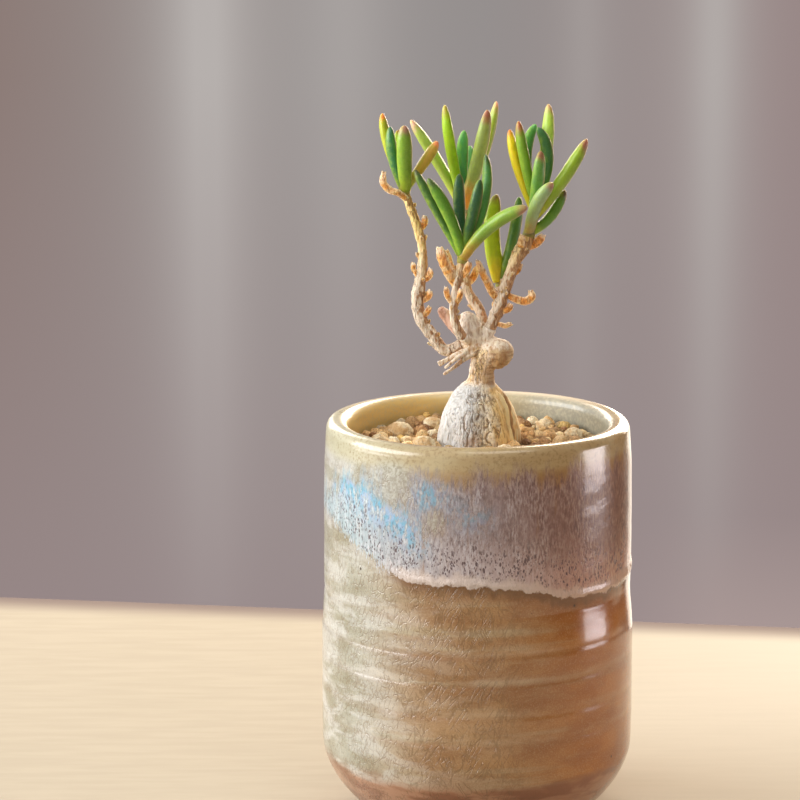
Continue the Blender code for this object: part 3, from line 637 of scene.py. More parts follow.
def band_cover(s):
    """Where the band lies: sharp below, and running out softly above and on the left."""
    softness = (s.strokes - 0.5) * (1.0 - s.rolled)
    softness = softness * 14.0 + (s.mottle - 0.5) * 1.2 + s.scallops * 2.8 * s.rolled
    lower = s.step(s.over + softness, -0.2, 0.25)
    wander = (s.drips - 0.5) * 12.0 + (s.strokes - 0.5) * 9.0
    top = s.step(s.above + wander, 2.2, -4.4)
    bare = s.step(s.tan + (s.drips - 0.5) * 1.8 + (s.strokes - 0.5), 0.25, 0.85)
    return lower * top * (1.0 - bare * 0.85)


def crackle_lines(s, cover):
    """Crackle in leaning lines, most on the left."""
    where = (s.left * 0.9 + s.step(s.right, 0.55, 0.0)).clamped()
    where *= (1.0 - cover * 0.7) * s.step(s.height, 0.0905, 0.0870)
    lines = None
    for lean, scales, odds in CRACKLE:
        turned = s.add("ShaderNodeVectorRotate", {"Vector": s.place, "Angle": lean}, rotation_type="Y_AXIS")
        kept = s.step(s.noise((260, 260, 260), 2.0, place=turned), odds - 0.04, odds + 0.06)
        more = s.step(s.borders(scales, 0.9, 0.35, turned), 0.075, 0.02) * kept
        lines = more if lines is None else s.math("MAXIMUM", lines, more)
    return lines * where


def glaze_material():
    s = Glaze()
    dots, cover = dark_specks(s), band_cover(s)
    # A dark line of painted shadow runs under the band's rolled edge
    painted_edge_shadow = s.step(s.lumpy, -3.4, -0.4) * s.step(s.over, 1.6, 0.8) * (s.rolled * 0.75 + 0.1)
    body = s.mix(painted_edge_shadow, tan_body(s), (112, 72, 38))
    olive = (1.0 - cover) * s.step(s.tan, 0.15, 0.60)
    body = s.mix(olive * 0.75, body, s.ramp(s.mottle, 0.4, 0.6, (146, 145, 132), (186, 186, 174)))
    colour = s.mix(cover, body, band_colour(s, dots))
    lines = crackle_lines(s, cover)
    colour = s.mix(lines * 0.38, colour, (112, 86, 54))
    # Iron spots
    iron = s.cells(s.place, 210)
    small = s.step(s.parts(iron.beside("Color"))[1], 0.50, 1.0) * 0.095
    spots = s.step(iron - small, 0.006, -0.028) * s.step(s.mottle, 0.34, 0.48)
    colour = s.mix(spots * 0.9, colour, (48, 32, 20))
    # Inside of the pot and the raw foot
    inner = s.ramp(s.x, -0.016, 0.020, (234, 206, 136), (148, 145, 130))
    inner = s.mix(s.step(s.mottle, 0.42, 0.66) * 0.35, inner, (204, 196, 166))
    colour = s.mix(s.inside, colour, inner)
    clay = s.ramp(s.noise(2400, 2.0), 0.4, 0.6, (150, 122, 96), (178, 150, 122))
    colour = s.mix(s.raw, colour, clay)
    # Glossy over all but the foot, and less so where specks roughen the band
    gloss = s.mottle * 0.10 + cover * 0.10 + s.left * 0.16 + 0.10
    roughness = s.math("MAXIMUM", gloss, s.math("MAXIMUM", s.raw * 0.8, s.inside * 0.45))
    pits = (dots + 1.0 - s.strokes) * cover * -0.6
    embossed = lines * -0.7 + s.grainy * 0.35
    normal = s.bump(embossed + pits, 0.00009, 0.75)
    return s.finish({
        "Base Color": colour,
        "Roughness": roughness,
        "Normal": normal,
        "IOR": 1.5,
        "Coat Weight": 0.35,
        "Coat Roughness": 0.08,
    })


# Plant tables, in millimetres, as in the part's source

CAUDEX_X, CAUDEX_Y = -1.0, 1.0
# The bulb's rows are height, middle and radius, and all the limbs' rows are x, y, height and radius
BULB = (
    (71.0, -1.2, 0.9), (77.0, -1.2, 3.4), (83.0, -1.2, 6.6), (87.5, -1.1, 8.3), (90.5, -1.0, 8.8),
    (94.0, -0.9, 8.2), (97.5, -0.5, 7.3), (99.5, -0.3, 6.5), (101.2, 0.0, 5.6), (102.6, 0.3, 4.6),
    (103.8, 0.6, 3.7), (105.2, 0.8, 3.1),
)
LOBE = (
    (5.4, 6.0, 82.0, 2.0), (5.6, 5.8, 87.5, 4.5), (5.4, 5.6, 91.5, 4.9), (4.9, 5.0, 95.5, 4.2),
    (3.8, 4.2, 99.5, 3.2), (2.2, 2.8, 103.0, 2.0),
)
NECK = (
    (0.8, 1.0, 103.6, 3.1), (0.8, 0.7, 107.2, 2.95), (1.5, 0.1, 109.6, 3.0), (3.0, -0.4, 111.2, 3.4),
    (4.8, -0.5, 111.5, 3.75), (6.4, -0.5, 111.2, 3.1), (7.6, -0.5, 110.8, 1.9), (8.1, -0.5, 110.6, 0.3),
)
STUMPS = {
    "left": (
        (4.2, 0.0, 112.4, 1.9), (2.8, 0.6, 113.8, 1.9), (1.2, 1.0, 114.3, 1.8), (-1.6, 0.7, 114.2, 1.65),
        (-4.0, 0.5, 113.5, 1.5),
    ),
    "front": ((-0.6, 0.6, 114.2, 1.3), (-2.2, -0.9, 114.8, 1.2), (-3.6, -2.3, 115.9, 1.15)),
    "back": ((1.2, 1.0, 114.3, 1.5), (1.5, 2.6, 115.2, 1.35), (1.5, 4.0, 116.6, 1.3)),
    "right": ((1.4, 0.8, 114.2, 1.6), (2.1, 0.5, 115.6, 1.55), (2.8, 0.3, 117.6, 1.5)),
    "side": (),
}
KNOT = (
    (0.2, 1.0, 114.6, 1.5), (-1.3, 1.1, 116.4, 2.3), (-2.4, 1.2, 118.6, 2.5), (-3.2, 1.3, 120.4, 1.7),
    (-3.5, 1.3, 121.0, 0.7),
)
PINK_STUB = (
    (-1.8, 1.6, 114.4, 1.3), (-4.0, 2.6, 115.8, 1.4), (-6.6, 3.0, 118.6, 1.35), (-8.6, 3.2, 121.2, 1.05),
    (-9.1, 3.2, 121.9, 0.4),
)
DEAD_STICKS = (
    ((-1.0, -1.0, 113.3, 0.6), (-4.2, -2.2, 112.0, 0.5), (-7.4, -2.9, 110.6, 0.45), (-9.6, -3.3, 109.9, 0.3)),
    ((-2.4, -1.6, 112.2, 0.6), (-4.4, -3.2, 111.4, 0.5), (-6.6, -4.2, 109.9, 0.4), (-7.9, -4.8, 108.9, 0.3)),
    ((0.2, -0.8, 113.4, 0.9), (-3.2, -1.7, 112.4, 0.7), (-6.4, -2.6, 111.0, 0.6), (-9.2, -3.2, 109.2, 0.42)),
    ((0.0, -1.2, 112.2, 0.9), (-2.8, -2.3, 110.9, 0.6), (-5.6, -3.2, 108.9, 0.5), (-8.2, -4.0, 107.2, 0.35)),
)
BRANCHES = {
    "left": (
        (-6.4, 0.5, 112.3, 1.5), (-8.2, 0.5, 112.4, 1.5), (-10.5, 0.9, 115.0, 1.4),
        (-12.7, 1.0, 118.0, 1.45), (-14.0, 1.4, 121.0, 1.6), (-14.2, 1.5, 124.4, 1.65),
        (-13.8, 1.9, 127.5, 1.55), (-13.3, 2.0, 130.6, 1.35), (-13.1, 2.0, 133.9, 1.15),
        (-13.4, 2.0, 137.4, 1.1), (-14.4, 2.0, 141.6, 1.2), (-15.6, 2.0, 145.0, 1.15),
        (-16.5, 2.0, 147.4, 1.05), (-17.1, 2.0, 149.0, 1.2),
    ),
    "front": (
        (-4.8, -2.9, 117.7, 1.1), (-5.7, -3.1, 120.2, 1.05), (-5.9, -3.0, 123.2, 1.0),
        (-5.5, -3.0, 126.4, 1.0), (-4.9, -3.0, 129.4, 1.05), (-4.3, -3.0, 131.6, 1.15),
        (-3.9, -3.0, 133.6, 1.25),
    ),
    "back": (
        (0.5, 5.4, 120.6, 1.25), (-2.0, 6.4, 124.4, 1.2), (-3.0, 7.1, 127.6, 1.15),
        (-3.3, 8.0, 132.2, 1.1), (-3.5, 8.8, 138.0, 1.05), (-3.5, 9.0, 143.6, 1.2),
    ),
    "right": (
        (4.2, 0.0, 121.0, 1.5), (5.6, -0.5, 125.0, 1.45), (6.6, -1.0, 128.2, 1.4),
        (7.8, -1.6, 131.8, 1.4), (9.0, -2.0, 134.8, 1.5), (10.6, -1.6, 137.5, 1.75),
        (11.6, -1.0, 139.4, 1.55),
    ),
    "side": ((4.6, -0.2, 121.8, 1.2), (5.1, 1.4, 124.2, 1.2), (5.3, 2.8, 126.8, 1.25)),
}
LEFT_SPUR = ((-12.6, 0.9, 118.2, 0.6), (-11.2, 0.2, 117.8, 0.5), (-9.9, -0.2, 116.4, 0.4))
DRY_LEAVES = {
    "left": (
        (((-16.7, 1.1, 147.7), (-18.8, 0.1, 149.4), (-21.0, 0.2, 150.2), (-22.5, 0.3, 152.0),
          (-22.2, 0.3, 154.6)), 1.9),
        (((-14.0, 1.8, 140.4), (-12.8, 1.5, 142.0), (-12.6, 1.4, 144.0)), 1.5),
        (((-13.2, 1.4, 128.6), (-11.9, 1.0, 129.7), (-11.4, 0.9, 131.6)), 1.6),
        (((-13.6, 1.0, 123.6), (-12.0, 0.6, 124.9), (-11.3, 0.6, 126.4)), 1.6),
        (((-13.9, 0.7, 119.9), (-12.2, 0.2, 121.0), (-11.3, 0.1, 122.6)), 1.4),
        (((-14.4, 1.6, 129.6), (-15.3, 1.7, 131.2), (-15.4, 1.8, 132.8)), 1.3),
    ),
    "front": (
        (((-5.1, -3.3, 127.6), (-7.0, -3.8, 130.6), (-8.7, -4.1, 134.0), (-9.6, -3.8, 137.4)), 3.0),
        (((-5.0, -2.4, 128.4), (-6.7, -1.5, 131.8), (-7.7, -0.9, 136.2)), 2.2),
        (((-4.2, -3.6, 130.2), (-2.9, -4.3, 132.0), (-2.2, -4.6, 134.0)), 1.7),
        (((-5.8, -3.4, 123.4), (-7.3, -3.7, 125.6), (-7.7, -3.7, 128.0)), 1.4),
        (((-5.5, -3.6, 123.8), (-4.6, -4.4, 125.6), (-4.2, -4.5, 127.6)), 1.5),
    ),
    "back": (
        (((-2.7, 7.2, 126.6), (-1.0, 8.0, 128.4), (0.3, 8.4, 131.2)), 1.8),
        (((-3.5, 8.6, 134.4), (-4.9, 9.9, 136.4), (-5.4, 10.9, 138.8)), 1.7),
        (((-3.2, 8.0, 130.0), (-3.4, 9.9, 131.2), (-3.0, 11.0, 133.4)), 1.5),
    ),
    "right": (
        (((4.6, -0.6, 124.0), (2.8, -1.4, 126.6), (0.9, -1.8, 130.4), (-0.4, -2.0, 133.9)), 2.3),
        (((6.2, -0.9, 125.8), (8.6, -1.3, 124.6), (11.0, -1.5, 124.2), (12.4, -1.5, 125.2),
          (12.1, -1.4, 126.8)), 1.9),
        (((4.2, -0.4, 118.6), (6.2, -1.0, 118.2), (7.9, -1.2, 118.8)), 1.3),
        (((5.0, -0.7, 121.4), (6.9, -1.3, 122.2), (7.6, -1.4, 123.6)), 1.6),
        (((9.9, -2.4, 136.0), (9.6, -3.6, 138.2), (9.9, -3.9, 140.4)), 2.0),
        (((11.6, -1.6, 136.9), (13.7, -1.9, 138.2), (15.2, -1.7, 140.0)), 1.9),
        (((7.4, -1.5, 130.2), (9.2, -1.3, 131.2), (10.2, -1.1, 132.9)), 1.3),
    ),
}
# The way that a dry leaf's hollow side faces
DRY_FACE = (0.3, 1.0, 0.2)
DRY_COLUMNS, DRY_THICKNESS = 13, 0.26
# How many slivers of peeling bark each limb carries
FLAKES = {"left": 16, "front": 8, "back": 8, "right": 14}
# How brown each limb's bark is
BARK_TONES = {"left": 0.0, "front": 0.7, "back": 0.4, "right": 1.0}
CORES = {
    "left": ((-17.3, 2.0, 150.4, 1.1), (-17.35, 2.0, 152.0, 0.7)),
    "front": ((-3.7, -3.0, 135.8, 1.2), (-3.6, -3.0, 138.4, 0.8)),
    "back": ((-3.5, 9.05, 145.4, 1.15), (-3.4, 9.1, 147.6, 0.7)),
    "right": ((12.1, -0.7, 141.6, 1.35), (12.8, 0.0, 144.6, 1.3), (13.6, 0.8, 148.4, 0.8)),
    "side": ((5.35, 3.1, 128.4, 1.25), (5.4, 3.2, 130.4, 0.9)),
}

# Leaf colours
YELLOW = (205, 190, 30)
LIME = (150, 178, 40)
GREEN = (98, 142, 34)
DEEP = (62, 112, 44)
TEAL = (52, 104, 76)
JADE = (96, 160, 96)
ORANGE = (226, 140, 52)
RUST = (150, 76, 40)
MAUVE = (158, 112, 98)
GRASS = (120, 170, 30)
STRAW = (190, 190, 40)
# For each leaf: where up the core the root is, the tip and the bow as offsets from the root, the width,
# then the colours of its root, body and tip and how waxy it is
LEAVES = {
    "left": (
        (0.5, (-5.2, 2.2, 17.4), (-1.0, 0.0, 0.6), 2.8, LIME, (178, 182, 40), ORANGE, 0.2),
        (0.3, (-3.4, -0.6, 15.2), (-0.9, -0.4, 0.0), 3.2, GREEN, (48, 114, 62), TEAL, 0.4),
        (0.4, (-0.2, -3.6, 15.6), (0.0, -0.9, 0.0), 3.7, LIME, (122, 160, 44), MAUVE, 0.5),
        (0.45, (7.6, 0.6, 11.2), (0.6, 0.0, 0.6), 3.2, (150, 160, 40), (200, 166, 66), (246, 140, 96), 0.2),
        (0.6, (-1.4, 5.2, 12.8), (-0.4, 0.8, 0.0), 2.9, LIME, LIME, RUST, 0.2),
    ),
    "front": (
        (0.3, (-11.2, 2.0, 20.4), (-0.6, 0.4, 1.0), 2.9, GREEN, (64, 100, 44), (92, 84, 52), 0.35),
        (0.35, (-8.2, -2.8, 18.8), (1.0, -0.4, 0.6), 3.6, GREEN, (84, 132, 32), (70, 92, 30), 0.35),
        (0.7, (-0.9, 2.6, 17.4), (-0.4, 0.4, 0.0), 2.9, GREEN, (46, 92, 62), (50, 84, 60), 0.3),
        (0.7, (3.8, -2.2, 16.8), (0.2, -0.6, 0.0), 3.3, GREEN, (48, 94, 60), (52, 88, 58), 0.35),
        (0.5, (5.2, 1.2, 23.2), (2.1, 0.4, 0.0), 3.1, LIME, (78, 136, 72), (60, 90, 44), 0.5),
        (0.3, (14.8, -7.2, 12.9), (-0.6, 0.2, 1.9), 4.0, (184, 150, 56), (124, 160, 62), MAUVE, 0.8),
    ),
    "back": (
        (0.3, (-12.4, 2.6, 20.6), (0.4, 0.2, 0.4), 3.4, (200, 206, 70), (160, 184, 84), (214, 168, 146), 0.5),
        (0.4, (-4.4, -2.0, 24.4), (-0.4, -0.4, 0.0), 3.1, GRASS, (154, 196, 24), (172, 150, 50), 0.3),
        (0.8, (0.2, 1.6, 16.2), (-0.5, 0.5, 0.0), 2.9, JADE, (88, 164, 96), JADE, 0.4),
        (0.35, (5.6, -3.6, 23.6), (0.5, -0.5, 0.0), 3.9, ORANGE, (150, 166, 90), (160, 98, 74), 0.7),
        (0.4, (7.8, 3.0, 24.6), (0.9, 0.4, 0.0), 2.9, LIME, (154, 172, 60), (228, 150, 130), 0.4),
        (0.6, (1.7, 7.4, 12.6), (0.0, 0.9, 0.4), 2.9, JADE, (84, 150, 84), JADE, 0.3),
    ),
    "right": (
        (0.75, (-5.8, 2.2, 18.7), (-0.7, 0.2, 0.0), 3.0, YELLOW, (222, 196, 26), (232, 120, 50), 0.1),
        (0.85, (-4.1, -1.6, 20.0), (-0.3, -0.5, 0.0), 3.1, GREEN, (108, 146, 30), (160, 84, 50), 0.3),
        (0.9, (0.0, 2.6, 18.1), (-2.3, 0.2, 1.2), 2.7, GREEN, (74, 142, 54), JADE, 0.4),
        (0.9, (0.2, -0.6, 17.8), (2.6, 0.0, 1.2), 2.8, GREEN, (58, 108, 54), (62, 116, 70), 0.3),
        (0.8, (3.2, 4.4, 23.8), (0.9, 0.6, 0.0), 3.2, LIME, (166, 196, 72), (190, 150, 110), 0.5),
        (0.6, (12.4, -1.6, 18.6), (0.2, -0.2, -0.8), 3.9, STRAW, (140, 170, 36), (158, 96, 78), 0.55),
        (0.35, (2.1, -3.8, 18.4), (0.2, -1.0, 0.0), 3.2, GREEN, (96, 146, 62), (150, 100, 72), 0.6),
        (0.14, (5.2, -6.6, 12.8), (-1.0, -0.8, 1.2), 3.6, (176, 152, 90), (146, 172, 122), MAUVE, 1.0),
        (0.16, (8.3, 1.4, 9.8), (0.6, 0.6, -1.4), 3.2, LIME, (92, 140, 36), (96, 72, 40), 0.3),
    ),
    "side": (
        (0.5, (-1.0, 1.4, 20.2), (-1.6, 0.2, 0.0), 4.1, YELLOW, (162, 184, 16), (124, 100, 40), 0.25),
        (0.5, (4.2, 0.4, 19.8), (0.6, 0.6, 0.0), 3.5, (110, 140, 30), (62, 112, 40), DEEP, 0.3),
    ),
}
LEAF_SIDES, LEAF_RINGS = 24, 44
LEAF_ROOT_WIDTH, LEAF_WIDEST, LEAF_BLUNTNESS = 0.80, 0.60, 2.6
LEAF_THICKNESS = 0.86
LEAF_GAIN = 1.18


def limb_rows(side, steps):
    """The whole limb's rows, and the first row of its branch and of its core."""
    stump, branch, core = STUMPS[side], BRANCHES[side], CORES[side]
    rows = smooth_path((*stump, *branch, *core), steps)
    return rows, max(0, len(stump) - 1) * steps, (len(stump) + len(branch) - 1) * steps


# Leaves


def leaf_radius(t, root_width):
    if t < LEAF_WIDEST:
        return root_width + (1 - root_width) * float(smoothstep(t / LEAF_WIDEST))
    return math.sqrt(max(0.0, 1 - ((t - LEAF_WIDEST) / (1 - LEAF_WIDEST)) ** LEAF_BLUNTNESS))


def linear(colour):
    return np.array(srgb(*colour)[:3])


def leaf_parts(root, row, seed, root_width):
    """Points, colours and per-point facts of one plump leaf, in millimetres."""
    _, tip, bow, width, root_colour, body_colour, tip_colour, wax = row
    rng = random.Random(seed)
    # A hair short of the CAD's leaf, so that it stays inside it
    tip = Vector(tip) * 0.999
    turn, end = root + tip / 2 + 2 * Vector(bow), root + tip
    steps = [min(0.9985, 1 - (1 - k / (LEAF_RINGS - 1)) ** 1.35) for k in range(LEAF_RINGS)]
    points = [root * (1 - t) ** 2 + 2 * turn * t * (1 - t) + end * t * t for t in steps]
    face = Vector((tip.x, tip.y, 0.0)) if tip.xy.length > 1 else Vector((0, 1, 0))
    offset = Vector([rng.uniform(-9, 9) for _ in range(3)])
    colours = [LEAF_GAIN * linear(c) for c in (root_colour, body_colour, tip_colour)]
    tip_start = rng.uniform(0.86, 0.91)
    verts, tints, facts, flush = [], [], [], []
    for (across, normal, _), t, centre in zip(frames(points, face), steps, points):
        radius = width / 2 * leaf_radius(t, root_width)
        for angle, out in spokes(LEAF_SIDES, across, normal):
            c, n = math.cos(angle), math.sin(angle)
            # The inner side is flatter, and a blunt keel runs up the back
            depth = LEAF_THICKNESS * (0.84 if n < 0 else 1.0)
            keel = 1 + 0.03 * max(0.0, n) ** 6
            spot = centre + radius * out
            dent = 1 + 0.035 * noise.noise(spot * 0.55 + offset) + 0.012 * noise.noise(spot * 2.1 + offset)
            verts.append(centre + radius * dent * keel * (c * across + depth * n * normal))
            patch = 0.5 + 0.5 * noise.noise(spot * 0.9 + offset)
            base = float(smoothstep((0.30 - t + 0.12 * patch) / 0.30))
            top = float(smoothstep((t - tip_start + 0.07 * patch + 0.02 * n) / 0.13))
            tint = colours[1] * (1 - base) + colours[0] * base
            tint = tint * (1 - top) + colours[2] * top
            tints.append((*tint, 1.0))
            facts.append((t, wax, 0.0))
            flush.append((out.x, out.z, 0.0))
    verts += [points[0], end]
    tints += [(*colours[0], 1.0), (*colours[2], 1.0)]
    facts += [(0.0, wax, 0.0), (1.0, wax, 0.0)]
    flush += [(0.0, 0.0, 0.0), (0.0, 1.0, 0.0)]
    return verts, tints, facts, flush


def make_leaves(side, material):
    """A shoot's green core with all its leaves sunk into it."""
    rows, _, first = limb_rows(side, 6)
    core = rows[first:]
    verts, tints, facts, flush, faces = [], [], [], [], []
    points = [Vector(row[:3]) for row in core]
    core_tint = linear((158, 146, 70))
    for (across, normal, _), row in zip(frames(points, (0, 1, 0)), core):
        for _, out in spokes(LEAF_SIDES, across, normal):
            verts.append(Vector(row[:3]) + row[3] * out)
            tints.append((*core_tint, 1.0))
            facts.append((0.05, 0.2, 0.0))
            flush.append((out.x, out.z, 0.0))
    verts += [points[0], points[-1]]
    tints += [(*core_tint, 1.0)] * 2
    facts += [(0.05, 0.2, 0.0)] * 2
    flush += [(0.0, 0.0, 0.0)] * 2
    faces += tube_faces(len(core), LEAF_SIDES)
    coarse, _, coarse_first = limb_rows(side, 1)
    joints = [Vector(row[:3]) for row in coarse[coarse_first:]]
    for number, row in enumerate(LEAVES[side]):
        place = row[0] * (len(joints) - 1)
        i = min(int(place), len(joints) - 2)
        root = joints[i].lerp(joints[i + 1], place - i)
        faces += tube_faces(LEAF_RINGS, LEAF_SIDES, len(verts))
        root_width = 1.0 if side == "side" else LEAF_ROOT_WIDTH
        more = leaf_parts(root, row, 7 * number + len(side), root_width)
        for values, added in zip((verts, tints, facts, flush), more):
            values.extend(added)
    attributes = {"tint": tints, "facts": facts, "flush": flush}
    piece = add_mesh(f"{side}_shoot", [v * MM for v in verts], faces, [material], attributes)
    return dress(piece, "leaf", f"{side}_leaves")


def leaf_material():
    s = Shader("leaf_skin")
    tint = s.tint()
    along, wax, _ = s.facts("facts")
    across, upward, _ = s.facts("flush")
    patches = s.noise(700, 3.0)
    fibres = s.noise((2600, 2600, 420), 3.0)
    # Brighter toward the window, deeper green away from it
    sunny = s.mix(0.45, tint, (190, 214, 60))
    shade = s.mix(0.40, tint, (44, 84, 16))
    lit = across * -0.5 + (patches - 0.5) * 1.2
    colour = s.mix(s.step(lit, 0.0, 0.55) * 0.75, tint, sunny)
    colour = s.mix(s.step(lit, 0.0, -0.55) * 0.75, colour, shade)
    colour = s.mix(s.step(fibres, 0.54, 0.40) * 0.22, colour, shade)
    # A thin red flush down the side away from the window
    red = s.step(across, 0.60, 1.00) * s.step(along, 0.20, 0.65)
    colour = s.mix(red * 0.40, colour, (158, 92, 34))
    # Fine pale waxy bladders, thickest on the waxy leaves: partly the wax's own bloom, partly painted glint,
    # paler on upward faces as painted top light
    grain = s.step(s.cells(s.place, 4300), 0.42, 0.12)
    bloom_and_glint = grain * wax * (upward * 0.25 + 0.34)
    colour = s.mix(bloom_and_glint, colour, (198, 212, 146))
    normal = s.bump(grain + patches * 0.6, 0.00005, 0.6)
    gloss = grain * -0.08 + 0.44
    return s.finish({
        "Base Color": colour,
        "Roughness": gloss,
        "Normal": normal,
        "Subsurface Weight": 0.60,
        "Subsurface Radius": (1.0, 1.0, 0.20),
        "Subsurface Scale": 0.0016,
        "Sheen Weight": 1.0,
        "Sheen Roughness": 0.22,
        "Sheen Tint": srgb(255, 220, 176),
        "Coat Weight": 0.35,
        "Coat Roughness": 0.28,
        "IOR": 1.40,
    })


# Wood


def bark_tube(table, steps, sides, flute, seed, first=0, final=None, rough=0.10, girth=1.0, knobs=1.0):
    """Points and faces of one limb with fluted, knobbly bark, in millimetres."""
    rows = smooth_path(table, steps)
    points = [Vector(row[:3]) for row in rows]
    final = len(rows) - 1 if final is None else final
    offset = Vector((seed * 3.1, seed * 1.7, seed * 2.3))
    verts = []
    travel = 0.0
    for i, (across, normal, _) in enumerate(frames(points, (0, 1, 0))):
        if i:
            travel += (points[i] - points[i - 1]).length
        if not first <= i <= final:
            continue
        swell = 0.10 * max(0.0, math.sin(travel * 1.9 + seed)) ** 5 + 0.05 * math.sin(travel * 0.9 + 2 * seed)
        swell = 1 + knobs * swell
        for angle, out in spokes(sides, across, normal):
            spot = points[i] + rows[i][3] * out
            ridge = flute * math.sin(5 * angle + 0.35 * travel + seed)
            ridge += 0.6 * flute * math.sin(9 * angle - 0.5 * travel)
            lump = rough * noise.noise(spot * 0.7 + offset) + 0.5 * rough * noise.noise(spot * 1.9 + offset)
            verts.append(points[i] + rows[i][3] * girth * swell * (1 + ridge + lump) * out)
    verts += [points[first], points[final]]
    return verts, tube_faces(final - first + 1, sides)


def fuse(name, parts, voxel):
    """Fuses overlapping closed tubes into one skin. Gives its points in millimetres, normals and faces."""
    verts, faces = [], []
    for more, more_faces in parts:
        join(verts, faces, more, more_faces)
    source = add_mesh(name, [v * MM for v in verts], faces, [])
    remesh = source.modifiers.new("fuse", "REMESH")
    remesh.mode = "VOXEL"
    remesh.voxel_size = voxel * MM
    softer = source.modifiers.new("softer", "SMOOTH")
    softer.factor, softer.iterations = 0.5, 2
    graph = bpy.context.evaluated_depsgraph_get()
    mesh = bpy.data.meshes.new_from_object(source.evaluated_get(graph))
    points = np.array([tuple(v.co) for v in mesh.vertices]) / MM
    normals = np.array([tuple(v.normal) for v in mesh.vertices])
    found = [tuple(p.vertices) for p in mesh.polygons]
    bpy.data.objects.remove(source)
    return points, normals, found


def noise_at(points, scale, offset=0.0):
    shift = Vector((offset, offset * 1.3, offset * 0.7))
    return np.array([noise.noise(Vector(spot) + shift) for spot in points * np.array(scale)])


def make_stem(side, material, seed):
    """The bark of a limb and of its twigs, fused in one."""
    steps = 8
    _, first, final = limb_rows(side, steps)
    girth = 0.90 if side == "left" else 0.95
    limb = (*STUMPS[side], *BRANCHES[side], *CORES[side])
    parts = [bark_tube(limb, steps, 22, 0.05, seed, first, final, girth=girth)]
    if side == "left":
        parts.append(bark_tube(LEFT_SPUR, 6, 14, 0.05, seed + 1))
    if side == "right":
        twig = (*BRANCHES["side"], *CORES["side"])
        parts.append(bark_tube(twig, steps, 20, 0.05, seed + 2, 0, (len(BRANCHES["side"]) - 1) * steps))
    points, normals, faces = fuse(f"{side}_bark", parts, 0.17)
    flakes = noise_at(points, (1.6, 1.6, 0.7), seed)
    fine = noise_at(points, (4.5, 4.5, 1.6), seed + 5)
    points += normals * (0.10 * np.clip(flakes, 0, 1) + 0.05 * fine)[:, None]
    # Brown where the pale bark has peeled, and painted shade on the sides facing away from the window
    peel_and_shade = smoothstep(0.42 + 0.75 * flakes + 0.80 * normals[:, 0])
    facts = facts_of(peel_and_shade, 0.5 + 0.5 * fine, BARK_TONES[side])
    piece = add_mesh(f"{side}_bark", points * MM, faces, [material], {"facts": facts})
    return dress(piece, "bark", f"{side}_stem")


def dry_leaf(table, width, seed):
    """A withered, channelled leaf base: a thin curled blade that flares to a frayed end, in millimetres."""
    rng = random.Random(seed)
    path = smooth_path([(*row, 0.0) for row in table], 9)
    points = [Vector(row[:3]) for row in path]
    last = len(points) - 1
    curl = rng.uniform(1.7, 2.6)
    twist = rng.uniform(-0.8, 0.8)
    flare = rng.uniform(0.75, 1.15)
    offset = Vector([rng.uniform(-9, 9) for _ in range(3)])
    outer, inner, facts = [], [], []
    for i, (across, normal, tangent) in enumerate(frames(points, DRY_FACE)):
        t = i / last
        half = width / 2 * (0.62 + 0.38 * flare * math.sin(math.pi * min(1.0, 0.15 + 0.62 * t)))
        half *= 1 - 0.35 * float(smoothstep((t - 0.78) / 0.22))
        turn = Matrix.Rotation(twist * t, 3, tangent)
        a, n = turn @ across, turn @ normal
        for k in range(DRY_COLUMNS):
            share = 2 * k / (DRY_COLUMNS - 1) - 1
            bend = curl * share * 0.5
            radius = half / max(0.3, math.sin(curl * 0.5))
            rough = 0.30 * noise.noise(points[i] * 1.1 + Vector((k * 0.45, 0, 0)) + offset) if i > 1 else 0.0
            rough += 0.07 * math.sin(3.2 * k + seed) * t
            fray = 0.9 * max(0.0, t - 0.7) * noise.noise(Vector((k * 1.3, seed, 2.0))) * width
            spot = points[i] + a * radius * math.sin(bend) + n * (radius * (1 - math.cos(bend)) + rough)
            spot += tangent * fray
            wall = DRY_THICKNESS * (1 - 0.45 * abs(share))
            outward = (n * math.cos(bend) - a * math.sin(bend)).normalized()
            outer.append(spot - outward * wall / 2)
            inner.append(spot + outward * wall / 2)
            facts.append((t, abs(share), 0.5 + 0.5 * noise.noise(points[i] * 0.9 + offset)))
    verts = outer + inner
    count = len(outer)
    faces = []
    for a, b, c, d in grid_faces(last + 1, DRY_COLUMNS):
        faces += [(a, b, c, d), (count + d, count + c, count + b, count + a)]
    rim = list(range(DRY_COLUMNS))
    rim += [i * DRY_COLUMNS + DRY_COLUMNS - 1 for i in range(1, last + 1)]
    rim += [last * DRY_COLUMNS + k for k in range(DRY_COLUMNS - 2, -1, -1)]
    rim += [i * DRY_COLUMNS for i in range(last - 1, 0, -1)]
    for a, b in zip(rim, rim[1:] + rim[:1]):
        faces.append((b, a, count + a, count + b))
    return verts, faces, facts + facts


